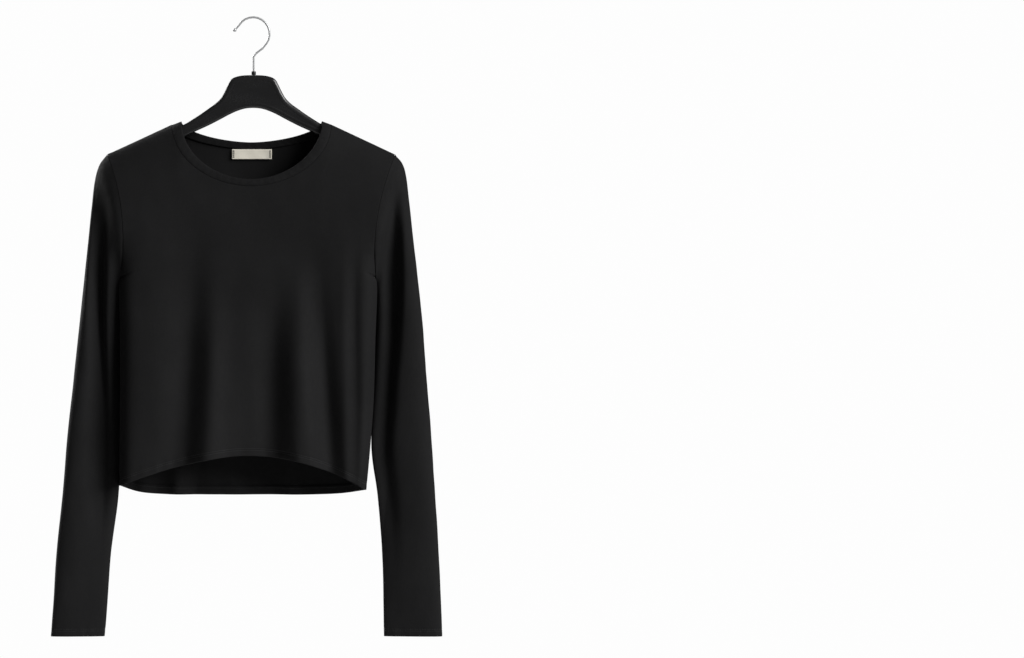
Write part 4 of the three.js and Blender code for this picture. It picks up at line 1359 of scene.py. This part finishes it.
class CROPTOP_OT_panels(bpy.types.Operator):
    """Make the front and back panels with their hem stitches"""
    bl_idname = "crop_top.panels"
    bl_label = "Front and back"

    def execute(self, context):
        sizes, colours = scene_settings()
        thread = thread_finish(colours.thread)
        for face in ("front", "back"):
            outside, way, thickness, maps, from_hem = panel_grid(face, sizes)
            grid, faces = wall(outside, way, thickness, FOLD_ROWS, False)
            panel = make_piece(face + "_panel", grid, faces,
                               jersey_material(face + "_jersey", sizes, colours),
                               both_sides(maps, len(grid)))
            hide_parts(face)
            kept = [part[:, STITCHED] for part in (outside, way, thickness, from_hem)]
            rows = stitch_piece(face + "_hem_stitches", hem_lines(*kept, sizes, True), sizes, thread)
        return {"FINISHED"}


class CROPTOP_OT_sleeves(bpy.types.Operator):
    """Make both sleeves with their cuff stitches"""
    bl_idname = "crop_top.sleeves"
    bl_label = "Sleeves"

    def execute(self, context):
        sizes, colours = scene_settings()
        thread = thread_finish(colours.thread)
        for side in ("left", "right"):
            name = "sleeve_" + side
            outside, way, thickness, maps, from_hem, girth = sleeve_grid(side, sizes)
            grid, faces = wall(outside, way, thickness, FOLD_ROWS, True)
            sleeve = make_piece(name + "_cloth", grid, faces,
                                jersey_material(name + "_jersey", sizes, colours),
                                both_sides(maps, len(grid)), both_sides(girth, len(grid)))
            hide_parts(name)
            parts = (outside, way, thickness, from_hem)
            closed = [np.concatenate([part, part[:, :1]], 1) for part in parts]
            rows = stitch_piece(name + "_cuff_stitches", hem_lines(*closed, sizes), sizes, thread)
        return {"FINISHED"}


class CROPTOP_OT_neckband(bpy.types.Operator):
    """Make the doubled neckband"""
    bl_idname = "crop_top.neckband"
    bl_label = "Neckband"

    def execute(self, context):
        sizes, colours = scene_settings()
        points, faces, maps, girth = neckband_shape()
        band = make_piece("neckband_rib", points, faces,
                          rib_finish("neckband_jersey", colours.jersey, sizes.rib), maps, girth)
        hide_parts("neckband")
        return {"FINISHED"}


class CROPTOP_OT_label(bpy.types.Operator):
    """Make the bare woven label and the short rows of stitches that hold it"""
    bl_idname = "crop_top.label"
    bl_label = "Label"

    def execute(self, context):
        sizes, colours = scene_settings()
        face, grid, faces, maps = label_shape(sizes)
        label = make_piece("label_tape", grid, faces, label_finish(colours.label), maps)
        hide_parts("label")
        lines = []
        for column in LABEL_STITCHED:
            line = face[2:-2, column]
            facing = np.broadcast_to([0.0, -1.0, 0.0], line.shape)
            lines.append(evenly(line + facing * LABEL_LIFT, LABEL_SPACING, facing))
        rows = stitch_piece("label_stitches", lines, sizes, thread_finish(colours.label_thread))
        return {"FINISHED"}


def sun(name, azimuth, elevation, energy, angle):
    """Soft distant light from an azimuth (0 in front, 90 at +X) and a height above the horizon."""
    light = bpy.data.lights.new(name, "SUN")
    light.energy = energy
    light.angle = math.radians(angle)
    lamp = add_object(name, light)
    lamp.rotation_euler = (math.radians(90 - elevation), 0, math.radians(azimuth))


class CROPTOP_OT_stage(bpy.types.Operator):
    """Make the floor, the lights, the backdrop and the camera"""
    bl_idname = "crop_top.stage"
    bl_label = "Stage"

    def execute(self, context):
        scene = context.scene
        stage = scene.crop_top_stage
        half, low = FLOOR_HALF, -stage.floor_drop
        mesh = bpy.data.meshes.new("floor")
        corners = [(-half, -half, low), (half, -half, low), (half, half, low), (-half, half, low)]
        mesh.from_pydata(corners, [], [(0, 1, 2, 3)])
        mesh.materials.append(floor_finish(scene.crop_top_colours.floor))
        add_object("floor", mesh)

        sun("key_light", KEY_AZIMUTH, KEY_ELEVATION, stage.key, KEY_ANGLE)
        sun("light_behind", KEY_AZIMUTH + 180, KEY_ELEVATION, stage.behind, KEY_ANGLE)

        world = bpy.data.worlds.new("backdrop")
        world.use_nodes = True
        tree = world.node_tree
        ray = tree.nodes.new("ShaderNodeLightPath")
        choice = tree.nodes.new("ShaderNodeMixShader")
        tree.links.new(ray.outputs["Is Camera Ray"], choice.inputs[0])
        lit, seen = tree.nodes.new("ShaderNodeBackground"), tree.nodes["Background"]
        for place, (light, strength) in enumerate(((lit, stage.fill), (seen, stage.backdrop)), 1):
            light.inputs["Color"].default_value = (1, 1, 1, 1)
            light.inputs["Strength"].default_value = strength
            tree.links.new(light.outputs[0], choice.inputs[place])
        tree.links.new(choice.outputs[0], tree.nodes["World Output"].inputs["Surface"])
        scene.world = world

        data = bpy.data.cameras.new("camera")
        data.sensor_width = SENSOR_WIDTH
        data.lens = SENSOR_WIDTH * stage.distance / (VIEW_WIDTH * MM)
        data.shift_x = VIEW_SHIFT
        camera = add_object("camera", data)
        camera.location = (0, -stage.distance, VIEW_MIDDLE * MM)
        camera.rotation_euler = (PI / 2, 0, 0)
        scene.camera = camera
        scene.view_settings.view_transform = "Standard"
        scene.view_settings.look = "None"
        return {"FINISHED"}


MAKERS = (CROPTOP_OT_hanger, CROPTOP_OT_hook, CROPTOP_OT_panels, CROPTOP_OT_sleeves,
          CROPTOP_OT_neckband, CROPTOP_OT_label, CROPTOP_OT_stage)


class CROPTOP_PT_sidebar(bpy.types.Panel):
    """Sizes, colours and the makers of each piece"""
    bl_idname = "CROPTOP_PT_sidebar"
    bl_label = "Crop top on a hanger"
    bl_space_type = "VIEW_3D"
    bl_region_type = "UI"
    bl_category = "Crop top"

    def draw(self, context):
        scene = context.scene
        for group in (scene.crop_top_sizes, scene.crop_top_colours, scene.crop_top_stage):
            column = self.layout.column(align=True)
            for name in group.__annotations__:
                column.prop(group, name)
        column = self.layout.column()
        for maker in MAKERS:
            column.operator(maker.bl_idname)


GROUPS = (("crop_top_sizes", CropTopSizes), ("crop_top_colours", CropTopColours),
          ("crop_top_stage", CropTopStage))


def register():
    for name, group in GROUPS:
        bpy.utils.register_class(group)
        setattr(bpy.types.Scene, name, PointerProperty(type=group))
    for maker in MAKERS + (CROPTOP_PT_sidebar,):
        bpy.utils.register_class(maker)


def unregister():
    for maker in (CROPTOP_PT_sidebar,) + MAKERS[::-1]:
        bpy.utils.unregister_class(maker)
    for name, group in GROUPS[::-1]:
        delattr(bpy.types.Scene, name)
        bpy.utils.unregister_class(group)


def main():
    """Registers the add-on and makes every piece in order."""
    register()
    for maker in MAKERS:
        area, name = maker.bl_idname.split(".")
        getattr(getattr(bpy.ops, area), name)()


if __name__ == "__main__":
    main()
